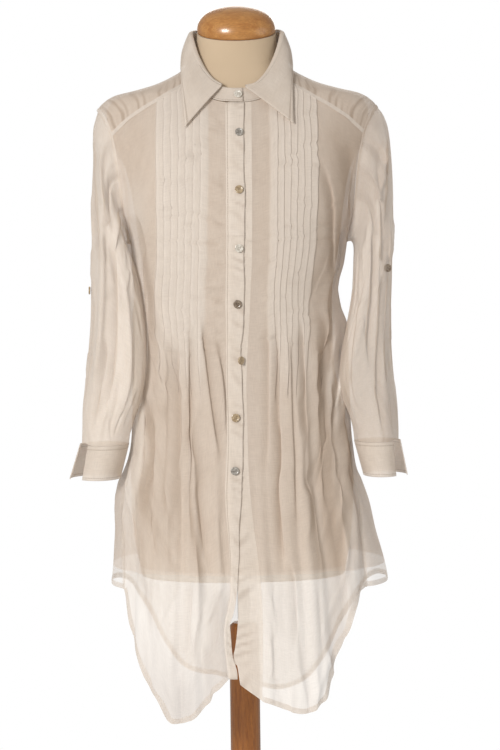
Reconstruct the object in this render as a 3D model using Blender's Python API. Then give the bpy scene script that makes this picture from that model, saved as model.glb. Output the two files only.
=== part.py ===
"""A long pintucked blouse, buttoned on a limbless dress form that stands on a turned wooden stand.

Metres, +Z up, the front faces -Y and the wearer's left is +X. The origin is on the floor, under the pole.
Each cloth piece is a thin wall. Its plain shape is read from one smooth figure, given by sections at
heights, and an angle says where a point lies round it: 0 at the centre front, 90 degrees at the
wearer's left, 180 degrees at the centre back.
"""

import math

import bmesh
import bpy
import numpy as np
from mathutils import Vector
from mathutils.bvhtree import BVHTree

# Cloth
WALL = 0.0012
SEAM_GAP = 0.0005
LAP_GAP = 0.0004
BAND_WALL = 0.0013

# Heights above the floor
SHOULDER_TIP_Z = 1.380
UNDERARM_Z = 1.182
FRONT_CORNER_Z = 1.337
BACK_CORNER_Z = 1.335
SIDE_HEM_Z = 0.690
FORM_BOTTOM_Z = 0.700
POLE_TOP_Z = 0.626
BASE_THICK = 0.024

# How far the right band stands out where it laps over the left one
OPENING_LIFT = 0.0019

# Pintucks, each a small fold pressed towards the side seam
TUCKS = 7
TUCK_HEIGHT = 0.0016
TUCK_FOOT = 0.0012
TUCK_END_Z, TUCK_OPEN_Z = 1.030, 0.930

# Buttons
BUTTON_R = 0.0058
BUTTON_THICK = 0.0022

ARMHOLE_SPREAD = math.radians(22)

# Colours, linear
CREAM = (0.72, 0.63, 0.54, 1)
PEARL = (0.55, 0.50, 0.43, 1)
FORM_CLOTH = (0.66, 0.54, 0.37, 1)
CAP_WOOD = (0.50, 0.23, 0.065, 1)
POLE_WOOD = (0.23, 0.075, 0.016, 1)
STEEL = (0.35, 0.33, 0.30, 1)


def table(columns, rows):
    """Rows of numbers as named columns, in rising order of the first one."""
    values = np.array(sorted(rows), float)
    return {name: values[:, i] for i, name in enumerate(columns.split())}


BODY = table(
    "height half_width front back squareness",
    [
        (0.480, 0.204, 0.150, 0.158, 2.3),
        (0.600, 0.203, 0.149, 0.155, 2.3),
        (0.690, 0.2015, 0.144, 0.151, 2.3),
        (0.730, 0.196, 0.141, 0.148, 2.3),
        (0.765, 0.190, 0.138, 0.146, 2.3),
        (0.800, 0.186, 0.136, 0.143, 2.3),
        (0.835, 0.178, 0.134, 0.138, 2.3),
        (0.850, 0.171, 0.133, 0.135, 2.3),
        (0.870, 0.165, 0.132, 0.132, 2.4),
        (0.900, 0.1605, 0.130, 0.127, 2.4),
        (0.950, 0.158, 0.127, 0.118, 2.4),
        (1.020, 0.157, 0.125, 0.108, 2.4),
        (1.064, 0.1555, 0.128, 0.107, 2.4),
        (1.090, 0.150, 0.131, 0.108, 2.4),
        (1.113, 0.147, 0.133, 0.109, 2.5),
        (1.153, 0.153, 0.137, 0.112, 2.6),
        (1.182, 0.156, 0.138, 0.114, 2.6),
        (1.230, 0.171, 0.134, 0.118, 2.6),
        (1.280, 0.186, 0.123, 0.119, 2.5),
        (1.310, 0.196, 0.114, 0.117, 2.4),
        (1.340, 0.205, 0.103, 0.111, 2.2),
        (1.357, 0.208, 0.094, 0.105, 2.1),
        (1.370, 0.206, 0.087, 0.101, 2.0),
        (1.380, 0.2005, 0.081, 0.096, 2.0),
        (1.390, 0.190, 0.075, 0.092, 2.0),
        (1.397, 0.177, 0.071, 0.089, 2.0),
        (1.4035, 0.150, 0.067, 0.086, 2.0),
        (1.412, 0.120, 0.063, 0.082, 2.0),
        (1.4205, 0.100, 0.060, 0.079, 2.0),
        (1.433, 0.079, 0.055, 0.074, 2.0),
        (1.447, 0.0695, 0.052, 0.070, 2.0),
        (1.470, 0.065, 0.050, 0.068, 2.0),
    ],
)

# The skirt hangs a little to the wearer's left, and the waist to the right
SWAY = table(
    "height share",
    [(0.45, 0.045), (0.70, 0.045), (0.76, 0.020), (0.80, 0), (0.84, -0.02), (0.89, 0), (1.06, 0),
     (1.09, -0.030), (1.113, -0.035), (1.153, -0.010), (1.18, 0), (1.5, 0)],
)

FORM = table(
    "height half_width front back squareness",
    [
        (0.700, 0.148, 0.100, 0.118, 2.3),
        (0.760, 0.159, 0.106, 0.126, 2.3),
        (0.840, 0.163, 0.104, 0.126, 2.3),
        (0.920, 0.152, 0.098, 0.112, 2.2),
        (1.020, 0.1355, 0.092, 0.090, 2.1),
        (1.100, 0.134, 0.108, 0.096, 2.2),
        (1.180, 0.145, 0.127, 0.104, 2.3),
        (1.220, 0.150, 0.127, 0.108, 2.3),
        (1.280, 0.160, 0.112, 0.109, 2.3),
        (1.320, 0.176, 0.098, 0.106, 2.2),
        (1.348, 0.187, 0.084, 0.098, 2.1),
        (1.371, 0.190, 0.074, 0.089, 2.0),
        (1.388, 0.183, 0.067, 0.084, 2.0),
        (1.3956, 0.170, 0.063, 0.081, 2.0),
        (1.4016, 0.147, 0.060, 0.078, 2.0),
        (1.4115, 0.117, 0.056, 0.075, 2.0),
        (1.4205, 0.095, 0.053, 0.072, 2.0),
        (1.434, 0.074, 0.050, 0.069, 2.0),
        (1.449, 0.0620, 0.048, 0.066, 2.0),
        (1.470, 0.0585, 0.046, 0.0635, 2.0),
        (1.4895, 0.0570, 0.0450, 0.0615, 2.0),
    ],
)

NECK_SEAM = table(
    "angle height",
    [(0, 1.379), (15, 1.381), (30, 1.389), (50, 1.413), (65, 1.430), (90, 1.4445), (130, 1.452), (180, 1.456)],
)

# The top edge of the collar stand, where the collar folds over
STAND_TOP = table(
    "angle radius height",
    [
        (0, 0.0725, 1.3995),
        (20, 0.0700, 1.4050),
        (30, 0.0680, 1.4135),
        (60, 0.0635, 1.4500),
        (75, 0.0632, 1.4710),
        (90, 0.0635, 1.4835),
        (130, 0.0665, 1.4920),
        (180, 0.0710, 1.4950),
    ],
)

# The collar's outer edge from its point round to the centre back, and how far it stands off the shoulder
COLLAR_EDGE = table(
    "share angle height off",
    [
        (0.00, 37.0, 1.342, 0.0060),
        (0.10, 43.0, 1.371, 0.0055),
        (0.22, 53.0, 1.403, 0.0050),
        (0.36, 74.0, 1.429, 0.0045),
        (0.50, 95.0, 1.438, 0.0050),
        (0.75, 138.0, 1.446, 0.0060),
        (1.00, 180.0, 1.448, 0.0070),
    ],
)
COLLAR_FOLD_START = {"right": 17.0, "left": 9.5}
LEFT_TIP_TURN, LEFT_TIP_RISE = 2.5, 0.0035

# The collar rolls over the stand: how far out and up from the stand's top edge
COLLAR_ROLL = ((-0.0002, 0.0021), (0.0022, 0.0028), (0.0045, 0.0018), (0.0060, -0.0006))

YOKE_FRONT_SEAM = table(
    "x height",
    [(0.064, 1.4150), (0.084, 1.4015), (0.105, 1.3885), (0.130, 1.3740), (0.150, 1.3610), (0.165, 1.3480)],
)

# The button bands' seams and free edges from the centre line. The fronts fall open below the last button
BANDS = table(
    "height right_seam right_edge left_edge left_seam",
    [
        (0.540, -0.0240, -0.0122, -0.0191, 0.0235),
        (0.580, -0.0240, -0.0122, -0.0191, 0.0235),
        (0.604, -0.0280, -0.0174, -0.0169, 0.0245),
        (0.614, -0.0290, -0.0187, -0.0145, 0.0250),
        (0.646, -0.0290, -0.0201, -0.0095, 0.0255),
        (0.664, -0.0250, -0.0146, -0.0083, 0.0250),
        (0.703, -0.0190, -0.0095, -0.0088, 0.0235),
        (0.738, -0.0190, -0.0062, -0.0095, 0.0205),
        (0.780, -0.0215, -0.0045, -0.0110, 0.0160),
        (0.808, -0.0240, -0.0030, -0.0130, 0.0130),
        (0.863, -0.0235, 0.0005, -0.0130, 0.0095),
        (0.920, -0.0215, 0.0030, -0.0115, 0.0085),
        (0.962, -0.0210, 0.0018, -0.0110, 0.0072),
        (1.018, -0.0205, 0.0010, -0.0105, 0.0095),
        (1.061, -0.0200, 0.0040, -0.0100, 0.0115),
        (1.097, -0.0195, 0.0057, -0.0100, 0.0150),
        (1.174, -0.0180, 0.0075, -0.0100, 0.0180),
        (1.250, -0.0175, 0.0085, -0.0095, 0.0190),
        (1.400, -0.0165, 0.0088, -0.0090, 0.0200),
    ],
)

TUCK_BAND = {
    "left": table(
        "height inner outer",
        [(0.50, 0.052, 0.140), (0.70, 0.048, 0.128), (0.80, 0.044, 0.115), (0.90, 0.040, 0.102),
         (0.98, 0.038, 0.096), (1.018, 0.0383, 0.0958), (1.10, 0.041, 0.100), (1.20, 0.044, 0.108),
         (1.31, 0.0464, 0.1123), (1.42, 0.046, 0.112)],
    ),
    "right": table(
        "height inner outer",
        [(0.50, 0.058, 0.155), (0.70, 0.056, 0.148), (0.80, 0.053, 0.136), (0.90, 0.050, 0.122),
         (0.98, 0.0495, 0.116), (1.018, 0.0498, 0.1157), (1.10, 0.048, 0.115), (1.20, 0.045, 0.1145),
         (1.31, 0.0419, 0.1148), (1.42, 0.042, 0.113)],
    ),
}

SIDE_SEAM = table(
    "height left right",
    [(0.50, 58, 64), (0.69, 61, 66.5), (0.76, 65, 69), (0.85, 72, 73), (0.95, 80, 80), (1.05, 88, 88),
     (1.10, 90, 90), (1.182, 90, 90)],
)

# Hem heights, by distance from the centre front, and by angle at the back
FRONT_HEM = {
    "right": table(
        "x height",
        [(0.0, 0.581), (0.0128, 0.5796), (0.0246, 0.5712), (0.0500, 0.5430), (0.0814, 0.5110), (0.1082, 0.5060),
         (0.1154, 0.5118), (0.1255, 0.5364), (0.1402, 0.5541), (0.1549, 0.5921), (0.1652, 0.6218),
         (0.1728, 0.6487), (0.1758, 0.6758), (0.178, 0.690)],
    ),
    "left": table(
        "x height",
        [(0.0, 0.5498), (0.0333, 0.5361), (0.0816, 0.5201), (0.0980, 0.5301), (0.1118, 0.5402),
         (0.1203, 0.5647), (0.1263, 0.5992), (0.1407, 0.6328), (0.1497, 0.6667), (0.1589, 0.6856),
         (0.168, 0.690)],
    ),
}
BACK_HEM = table(
    "angle left right",
    [(60, 0.690, 0.690), (104, 0.688, 0.687), (112, 0.681, 0.680), (119, 0.664, 0.665), (126, 0.630, 0.633),
     (133, 0.580, 0.588), (141, 0.538, 0.547), (150, 0.506, 0.525), (163, 0.4925, 0.5165), (180, 0.503, 0.503)],
)

# Folds that the skirt falls into: ridges stand out and valleys sink in, by their angle at the waist and hem
FOLDS = {
    "left": table(
        "waist_angle hem_angle lift half_angle start_height",
        [(10, 12, 0.0030, 4.5, 0.95), (24, 26, 0.0045, 5.5, 1.02), (35, 34, 0.0050, 4.5, 1.02),
         (42.5, 43.5, -0.0075, 4.5, 1.10), (52, 53, 0.0060, 6.0, 1.00)],
    ),
    "right": table(
        "waist_angle hem_angle lift half_angle start_height",
        [(17, 12, 0.0050, 4.5, 1.00), (27, 27, 0.0065, 4.5, 1.03), (34, 35.5, -0.0050, 3.8, 1.03),
         (41, 45, 0.0055, 5.5, 1.00), (54, 55, 0.0050, 5.5, 0.98)],
    ),
    "back": table(
        "waist_angle hem_angle lift half_angle start_height",
        [(-150, -148, 0.0075, 8.0, 1.02), (-128, -122, 0.0060, 8.0, 0.98), (-172, -173, 0.0050, 7.0, 1.00),
         (100, 96, 0.0030, 7.0, 0.80), (126, 121, 0.0065, 8.0, 1.00), (148, 150, 0.0075, 8.5, 1.04),
         (168, 170, 0.0055, 6.5, 1.02), (-100, -96, 0.0030, 7.0, 0.80)],
    ),
}

# Sleeve rings from the shoulder down: the outermost and innermost points, half the depth and its centre
SLEEVE_RINGS = table(
    "step outer_z left right inner_z inner_left inner_right half_depth centre_y settled",
    [
        (1, 1.3745, 0.2045, 0.2020, 1.1840, 0.1600, 0.1600, 0.0665, 0.001, 0.15),
        (2, 1.3660, 0.2105, 0.2045, 1.1830, 0.1645, 0.1640, 0.0680, -0.001, 0.35),
        (3, 1.3500, 0.2165, 0.2085, 1.1770, 0.1668, 0.1655, 0.0680, -0.004, 0.60),
        (4, 1.3280, 0.2200, 0.2090, 1.1670, 0.1668, 0.1645, 0.0670, -0.008, 0.80),
        (5, 1.2960, 0.2215, 0.2090, 1.1520, 0.1655, 0.1615, 0.0660, -0.013, 1.0),
        (6, 1.2550, 0.2220, 0.2105, 1.1300, 0.1640, 0.1595, 0.0650, -0.019, 1.0),
        (7, 1.2100, 0.2215, 0.2105, 1.1030, 0.1625, 0.1590, 0.0640, -0.025, 1.0),
        (8, 1.1650, 0.2200, 0.2110, 1.0750, 0.1610, 0.1590, 0.0625, -0.031, 1.0),
        (9, 1.1200, 0.2185, 0.2120, 1.0470, 0.1600, 0.1590, 0.0610, -0.036, 1.0),
        (10, 1.0750, 0.2165, 0.2135, 1.0160, 0.1595, 0.1590, 0.0590, -0.040, 1.0),
        (11, 1.0300, 0.2170, 0.2175, 0.9860, 0.1595, 0.1595, 0.0570, -0.042, 1.0),
        (12, 0.9850, 0.2200, 0.2230, 0.9580, 0.1600, 0.1600, 0.0540, -0.044, 1.0),
        (13, 0.9500, 0.2240, 0.2275, 0.9350, 0.1610, 0.1610, 0.0510, -0.045, 1.0),
        (14, 0.9200, 0.2255, 0.2285, 0.9140, 0.1620, 0.1620, 0.0480, -0.046, 1.0),
        (15, 0.8970, 0.2255, 0.2295, 0.8970, 0.1630, 0.1630, 0.0455, -0.047, 1.0),
    ],
)
SLEEVE_FOLDS = table(
    "turn_top turn_end lift half_turn",
    [(20, 8, 0.0025, 16), (62, 52, 0.0040, 20), (112, 98, 0.0035, 18), (250, 262, 0.0040, 22), (300, 310, 0.0030, 18)],
)
ARMHOLE_STEPS = {"front": 7, "yoke": 6, "back": 7}
BACK_COLUMNS = 24

CUFF_HEIGHT = 0.050
CUFF_SLANT = 0.013
CUFF_FLARE = {"left": 0.002, "right": 0.008}
SLIT_TURN = math.radians(32)
SLIT_HEIGHT = 0.040
CUFF_OPEN = math.radians(15)

# The front buttons below the collar. One has turned sideways in its buttonhole
BUTTONS = table(
    "number x height turned",
    [
        (2, 0.0023, 1.3355, 0),
        (3, 0.0011, 1.2549, 0),
        (4, 0.0001, 1.1742, 0),
        (5, -0.0032, 1.0968, 0),
        (6, 0.0000, 1.0176, 50),
        (7, -0.0078, 0.9370, 0),
        (8, -0.0098, 0.8630, 0),
    ],
)
SLEEVE_BUTTON_Z = {"left": 1.1437, "right": 1.1173}
SLEEVE_BUTTON_TURN = {"left": math.radians(49), "right": math.radians(10)}

# The dress form and its stand
NECK_TILT = math.tan(math.radians(20))
NECK_TILT_FROM = 1.420
CAP_HEIGHT = 0.038
ROD_R = 0.009
POLE_R = 0.0220
BASE_R = 0.190


def smooth(values, name, at):
    """A table's column at a height or angle, by a monotone cubic through its rows."""
    xs, ys = values[next(iter(values))], values[name]
    at = np.clip(np.asarray(at, float), xs[0], xs[-1])
    step = np.diff(xs)
    slope = np.diff(ys) / step
    tangent = np.zeros(len(xs))
    tangent[0], tangent[-1] = slope[0], slope[-1]
    for i in range(1, len(xs) - 1):
        if slope[i - 1] * slope[i] > 0:
            near, far = 2 * step[i] + step[i - 1], step[i] + 2 * step[i - 1]
            tangent[i] = (near + far) / (near / slope[i - 1] + far / slope[i])
    i = np.clip(np.searchsorted(xs, at, side="right") - 1, 0, len(step) - 1)
    t = (at - xs[i]) / step[i]
    return (
        ys[i] * (1 + 2 * t) * (1 - t) ** 2
        + tangent[i] * step[i] * t * (1 - t) ** 2
        + ys[i + 1] * t * t * (3 - 2 * t)
        + tangent[i + 1] * step[i] * t * t * (t - 1)
    )


def figure_point(figure, angle, height):
    """The point of a figure at this angle, in radians, and height."""
    angle, height = np.broadcast_arrays(np.asarray(angle, float), np.asarray(height, float))
    across, ahead = np.sin(angle), np.cos(angle)
    square = smooth(figure, "squareness", height)
    depth = np.where(ahead > 0, smooth(figure, "front", height), smooth(figure, "back", height))
    wide = smooth(figure, "half_width", height)
    radius = (np.abs(across / wide) ** square + np.abs(ahead / depth) ** square) ** (-1 / square)
    return np.stack([radius * across, -radius * ahead, height], -1)


def figure_normal(figure, angle, height):
    """The outward direction there."""
    reach = 5e-4
    along = figure_point(figure, np.add(angle, reach), height) - figure_point(figure, np.subtract(angle, reach), height)
    up = figure_point(figure, angle, np.add(height, reach)) - figure_point(figure, angle, np.subtract(height, reach))
    out = np.cross(along, up)
    return out / np.linalg.norm(out, axis=-1, keepdims=True)


def front_angle(x, height):
    """The angle at which the front of the worn cloth is this far from the centre line."""
    square = smooth(BODY, "squareness", height)
    wide = smooth(BODY, "half_width", height)
    share = np.maximum(x, 1e-5) ** -square - wide**-square
    return np.arctan2(1.0, smooth(BODY, "front", height) * np.maximum(share, 1e-9) ** (1 / square))


def signed_angle(x, height):
    """The same for a point on either side of the centre line."""
    return np.sign(x) * front_angle(np.abs(x), height)


def neck_angle(x):
    """The angle at which the front neck seam is this far from the centre line."""
    angles = np.radians(np.linspace(-20, 60, 161))
    across = figure_point(BODY, angles, smooth(NECK_SEAM, "height", np.degrees(np.abs(angles))))[:, 0]
    return np.interp(x, across, angles)


def bump(distance, half_width):
    """1 on a fold's crest and 0 past its sides."""
    share = np.clip(np.abs(distance) / half_width, 0, 1)
    return np.cos(share * math.pi / 2) ** 2


def ease(value, low, high):
    share = np.clip((value - low) / (high - low), 0, 1)
    return share * share * (3 - 2 * share)


def fold_lift(folds, angle, height):
    """How far the skirt's folds move the cloth out at an angle and height."""
    degrees = np.degrees(angle)
    lift = np.zeros(np.broadcast(angle, height).shape)
    for i in range(len(folds["lift"])):
        down = np.clip((1.0 - height) / 0.45, 0, 1)
        centre = folds["waist_angle"][i] + (folds["hem_angle"][i] - folds["waist_angle"][i]) * down
        away = (degrees - centre + 180) % 360 - 180
        start = folds["start_height"][i]
        grown = 1 - ease(height, start - 0.22, start)
        lift += folds["lift"][i] * grown * bump(away, folds["half_angle"][i])
    return lift


def grid_normals(points, wraps=False):
    """Directions square to a grid of points, rows going down and columns going left round the wearer."""
    if wraps:
        across = np.roll(points, -1, 1) - np.roll(points, 1, 1)
    else:
        across = np.gradient(points, axis=1)
    out = np.cross(across, -np.gradient(points, axis=0))
    return out / np.maximum(np.linalg.norm(out, axis=-1, keepdims=True), 1e-12)


def body_normals(points):
    """The plain figure's outward directions under a grid, so that neighbours' edges agree."""
    return figure_normal(BODY, np.arctan2(points[..., 0], -points[..., 1]), points[..., 2])


def swayed(points):
    share = smooth(SWAY, "share", points[..., 2]) * np.sign(points[..., 0])
    return points * np.stack([1 + share, np.ones_like(share), np.ones_like(share)], -1)


def draw_in(points, top=False, bottom=False, start=False, end=False):
    """Moves a grid's outer rows or columns in by half a seam gap, so that neighbours stay clear."""
    moved = points.copy()
    edges = (
        (top, np.s_[0, :], np.s_[1, :]),
        (bottom, np.s_[-1, :], np.s_[-2, :]),
        (start, np.s_[:, 0], np.s_[:, 1]),
        (end, np.s_[:, -1], np.s_[:, -2]),
    )
    for wanted, edge, inside in edges:
        if wanted:
            way = points[inside] - points[edge]
            moved[edge] = moved[edge] + way / np.linalg.norm(way, axis=-1, keepdims=True) * SEAM_GAP / 2
    return moved


def material(name, colour, roughness, metallic=0.0):
    made = bpy.data.materials.get(name) or bpy.data.materials.new(name)
    made.use_nodes = True
    shader = made.node_tree.nodes["Principled BSDF"]
    shader.inputs["Base Color"].default_value = colour
    shader.inputs["Roughness"].default_value = roughness
    shader.inputs["Metallic"].default_value = metallic
    return made


def add_object(name, points, faces, finish, smooth_angle=40):
    """A named mesh object with its faces turned outwards."""
    mesh = bpy.data.meshes.new(name)
    mesh.from_pydata([tuple(p) for p in points], [], faces)
    build = bmesh.new()
    build.from_mesh(mesh)
    bmesh.ops.recalc_face_normals(build, faces=build.faces)
    build.to_mesh(mesh)
    build.free()
    mesh.materials.append(finish)
    mesh.shade_smooth()
    mesh.set_sharp_from_angle(angle=math.radians(smooth_angle))
    obj = bpy.data.objects.new(name, mesh)
    bpy.context.scene.collection.objects.link(obj)
    return obj


def add_wall(name, inner, outer, finish, wraps=False):
    """A closed cloth wall between two grids of points. wraps joins the last column to the first."""
    rows, columns = inner.shape[:2]
    points = np.concatenate([inner.reshape(-1, 3), outer.reshape(-1, 3)])
    side = rows * columns
    last = columns if wraps else columns - 1

    def at(i, j):
        return i * columns + j % columns

    faces = []
    for i in range(rows - 1):
        for j in range(last):
            corners = (at(i, j), at(i + 1, j), at(i + 1, j + 1), at(i, j + 1))
            faces.append(corners[::-1])
            faces.append(tuple(side + c for c in corners))
    rim = [(at(i, j), at(i, j + 1)) for i in (0, rows - 1) for j in range(last)]
    if not wraps:
        rim += [(at(i, j), at(i + 1, j)) for j in (0, columns - 1) for i in range(rows - 1)]
    faces += [(a, b, side + b, side + a) for a, b in rim]
    return add_object(name, points, faces, finish)


def mirrored(points, side):
    """The right side is worked out like the left and turned over."""
    return points * np.array([-1.0, 1.0, 1.0]) if side == "right" else points


def add_cloth(name, points, out, finish, thickness=WALL, raised=None):
    """A wall on a grid, thickened outwards, with some of its outer points raised further."""
    rise = 0 if raised is None else raised[..., None]
    return add_wall(name, swayed(points), swayed(points + out * (thickness + rise)), finish)


def add_turned(name, profile, finish, steps, centre=(0, 0)):
    """A round solid from (radius, height) points, top to bottom, whose first and last lie on the axis."""
    ring = [p for p in profile if p[0] > 0]
    turns = np.linspace(0, 2 * math.pi, steps, endpoint=False)
    points = [
        (centre[0] + r * math.cos(t), centre[1] + r * math.sin(t), z) for r, z in ring for t in turns
    ]
    points += [(centre[0], centre[1], profile[0][1]), (centre[0], centre[1], profile[-1][1])]
    top, bottom = len(points) - 2, len(points) - 1
    last = (len(ring) - 1) * steps
    faces = []
    for j in range(steps):
        k = (j + 1) % steps
        faces.append((top, j, k))
        faces.append((bottom, last + k, last + j))
        for i in range(len(ring) - 1):
            faces.append((i * steps + j, (i + 1) * steps + j, (i + 1) * steps + k, i * steps + k))
    return add_object(name, points, faces, finish)


def armhole(turn):
    """(angle, height) on the figure at a turn round the left armhole: 0 at the shoulder, 90 in front."""
    middle, half = (SHOULDER_TIP_Z + UNDERARM_Z) / 2, (SHOULDER_TIP_Z - UNDERARM_Z) / 2
    return math.pi / 2 - ARMHOLE_SPREAD * np.sin(turn), middle + half * np.cos(turn)


def armhole_turns():
    """The turns at which the pieces round the armhole share their points."""
    middle, half = (SHOULDER_TIP_Z + UNDERARM_Z) / 2, (SHOULDER_TIP_Z - UNDERARM_Z) / 2
    front = math.acos((FRONT_CORNER_Z - middle) / half)
    back = math.acos((BACK_CORNER_Z - middle) / half)
    return {
        "front": np.linspace(front, math.pi, ARMHOLE_STEPS["front"] + 1),
        "back": np.linspace(math.pi, 2 * math.pi - back, ARMHOLE_STEPS["back"] + 1),
        "yoke": np.linspace(-back, front, ARMHOLE_STEPS["yoke"] + 1),
    }


def yoke_front_nodes():
    """The left front yoke seam in space, from the neck to the armhole."""
    x, height = YOKE_FRONT_SEAM["x"], YOKE_FRONT_SEAM["height"]
    angle = front_angle(x, height)
    corner = armhole(armhole_turns()["front"][0])
    return np.append(angle, corner[0]), np.append(height, corner[1])


def side_rows(side):
    """(angle, height) down the outer edge of a front or back: the armhole, then the side seam."""
    heights = np.array([1.150, 1.110, 1.070, 1.030, 0.985, 0.940, 0.890, 0.840, 0.790, 0.740, SIDE_HEM_Z])
    return np.radians(smooth(SIDE_SEAM, side, heights)), heights


def tuck_positions():
    """Where the columns lie across the band of tucks, and how high each one's outer point is raised."""
    foot = TUCK_FOOT / (TUCK_BAND["left"]["outer"][-1] - TUCK_BAND["left"]["inner"][-1])
    shares, raised = [0.0], [0.0]
    for tuck in range(TUCKS):
        crest = (tuck + 1) / TUCKS
        shares += [crest - foot, crest]
        raised += [1.0, 0.0]
    return np.array(shares), np.array(raised)


def front_columns(side, height, share, kind, edge_angle):
    """The angle of a front's column at a height. kind is strip, tuck or side."""
    sign = 1 if side == "left" else -1
    start = sign * smooth(BANDS, side + "_seam", height)
    inner, outer = smooth(TUCK_BAND[side], "inner", height), smooth(TUCK_BAND[side], "outer", height)
    if kind == "strip":
        return signed_angle(start + (inner - start) * share, height)
    if kind == "tuck":
        return front_angle(inner + (outer - inner) * share, height)
    first = front_angle(outer, height)
    return first + (edge_angle - first) * share


def front_layout():
    """The columns of a front: (kind, share across that part)."""
    shares, _ = tuck_positions()
    layout = [("strip", s) for s in (0.0, 0.5)]
    layout += [("tuck", s) for s in shares]
    layout += [("side", s) for s in np.linspace(0, 1, 10)[1:]]
    return layout


def front_grid(side):
    """The plain points of a front panel, rows down from the neck and yoke, columns out from the band."""
    layout = front_layout()
    node_angle, node_height = yoke_front_nodes()
    nodes = figure_point(BODY, node_angle, node_height)
    edge_angle, edge_height = armhole(armhole_turns()["front"])
    side_angle, side_height = side_rows(side)
    edge_angle = np.append(edge_angle, side_angle)
    edge_height = np.append(edge_height, side_height)
    drop = (edge_height[0] - edge_height) / (edge_height[0] - edge_height[-1])
    hem = FRONT_HEM[side]
    grid = np.zeros((len(drop), len(layout), 3))
    for j, (kind, share) in enumerate(layout):
        top = nodes[0, 2]
        for _ in range(6):
            angle = front_columns(side, top, share, kind, edge_angle[0])
            across = figure_point(BODY, angle, top)[0]
            if kind == "side":
                band_edge = smooth(TUCK_BAND[side], "outer", top)
                across = band_edge + (nodes[-1, 0] - band_edge) * share
            if across < nodes[0, 0]:
                top = float(smooth(NECK_SEAM, "height", abs(math.degrees(neck_angle(across)))))
            else:
                top = float(np.interp(across, nodes[:, 0], nodes[:, 2]))
        if across < nodes[0, 0]:
            grid[0, j] = figure_point(BODY, neck_angle(across), top)
        else:
            grid[0, j] = [np.interp(across, nodes[:, 0], nodes[:, i]) for i in range(3)]
        bottom = 0.6
        for _ in range(12):
            angle = front_columns(side, bottom, share, kind, edge_angle[-1])
            reach = figure_point(BODY, angle, bottom)[0]
            bottom = 0.5 * bottom + 0.5 * float(smooth(hem, "height", min(reach, hem["x"][-1])))
        if kind == "side" and share == 1.0:
            bottom = SIDE_HEM_Z
        heights = top - drop * (top - bottom)
        for i in range(1, len(drop)):
            angle = front_columns(side, heights[i], share, kind, edge_angle[i])
            height = heights[i]
            if kind == "side":
                near = share * (1 - ease(i, 7, 12)) if share < 1 else 1.0
                height += (edge_height[i] - height) * near
            grid[i, j] = figure_point(BODY, angle if share < 1 or kind != "side" else edge_angle[i], height)
    return grid


def tuck_rise(grid):
    """How far the tucks raise a front's outer points."""
    _, raised = tuck_positions()
    rise = np.zeros(grid.shape[:2])
    first = 2
    rise[:, first : first + len(raised)] = raised
    return rise * TUCK_HEIGHT * ease(grid[..., 2], TUCK_OPEN_Z, TUCK_END_Z)


def folded(grid, folds):
    """A grid moved along its own normals by the skirt's folds."""
    angle = np.arctan2(grid[..., 0], -grid[..., 1])
    lift = fold_lift(folds, angle, grid[..., 2])
    return grid + figure_normal(BODY, angle, grid[..., 2]) * lift[..., None]


def add_fronts(finish):
    grids = {}
    for side in ("right", "left"):
        plain = front_grid(side)
        grids[side] = folded(plain, FOLDS[side])
        out = mirrored(body_normals(plain), side)
        grid = mirrored(draw_in(grids[side], top=True, start=True, end=True), side)
        add_cloth("front_" + side, grid, out, finish, raised=tuck_rise(plain))
    return grids


def add_bands(finish, fronts):
    """The button bands, sewn along the fronts' inner edges. The right one laps over the left one."""
    shares = np.array([0.0, 0.28, 0.64, 1.0])
    bands = {}
    for side in ("right", "left"):
        seam = mirrored(fronts[side][:, 0], side)
        grid = np.zeros((len(seam), len(shares), 3))
        out = np.zeros_like(grid)
        for i, start in enumerate(seam):
            height = np.full(len(shares), start[2])
            if side == "left":
                height = height + 0.024 * shares * ease(-start[2], -0.60, -0.56)
            edge = smooth(BANDS, side + "_edge", start[2])
            x = start[0] + (edge - start[0]) * shares
            angle = signed_angle(np.where(np.abs(x) < 1e-4, 1e-4, x), height)
            if i == 0:
                angle = neck_angle(x)
                height = smooth(NECK_SEAM, "height", np.degrees(np.abs(angle)))
            out[i] = figure_normal(BODY, angle, height)
            grid[i] = figure_point(BODY, angle, height)
            off = start[1] - grid[i, 0, 1]
            grid[i, :, 1] += off * (1 - shares)
            if side == "right":
                grid[i] += out[i] * (OPENING_LIFT * ease(shares, 0.0, 0.28))[:, None]
        out[:, 0] = body_normals(seam)
        grid = draw_in(grid, top=True, start=True)
        if side == "left":
            grid, out = grid[:, ::-1], out[:, ::-1]
        bands[side] = add_cloth("button_band_" + side, grid, out, finish, thickness=BAND_WALL)
    return bands


def back_grid():
    """The back panel, from its left side edge round behind to its right one."""
    turns = armhole_turns()["back"][::-1]
    hole_angle, hole_height = armhole(turns)
    left_angle, side_height = side_rows("left")
    left = np.append(hole_angle, left_angle)
    right = 2 * math.pi - np.append(hole_angle, side_rows("right")[0])
    edge_height = np.append(hole_height, side_height)
    shares = np.linspace(0, 1, BACK_COLUMNS + 1)
    drop = (edge_height[0] - edge_height) / (edge_height[0] - edge_height[-1])
    low = left[-1] + (right[-1] - left[-1]) * shares
    hem = np.where(
        low < math.pi,
        smooth(BACK_HEM, "left", np.degrees(low)),
        smooth(BACK_HEM, "right", np.degrees(2 * math.pi - low)),
    )
    grid = np.zeros((len(drop), len(shares), 3))
    for i in range(len(drop)):
        angle = left[i] + (right[i] - left[i]) * shares
        height = BACK_CORNER_Z - drop[i] * (BACK_CORNER_Z - hem)
        inside = np.clip(np.minimum(angle - left[i], right[i] - angle) / math.radians(25), 0, 1)
        height = edge_height[i] + (height - edge_height[i]) * inside**0.7
        grid[i] = figure_point(BODY, angle, height)
    return grid


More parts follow.
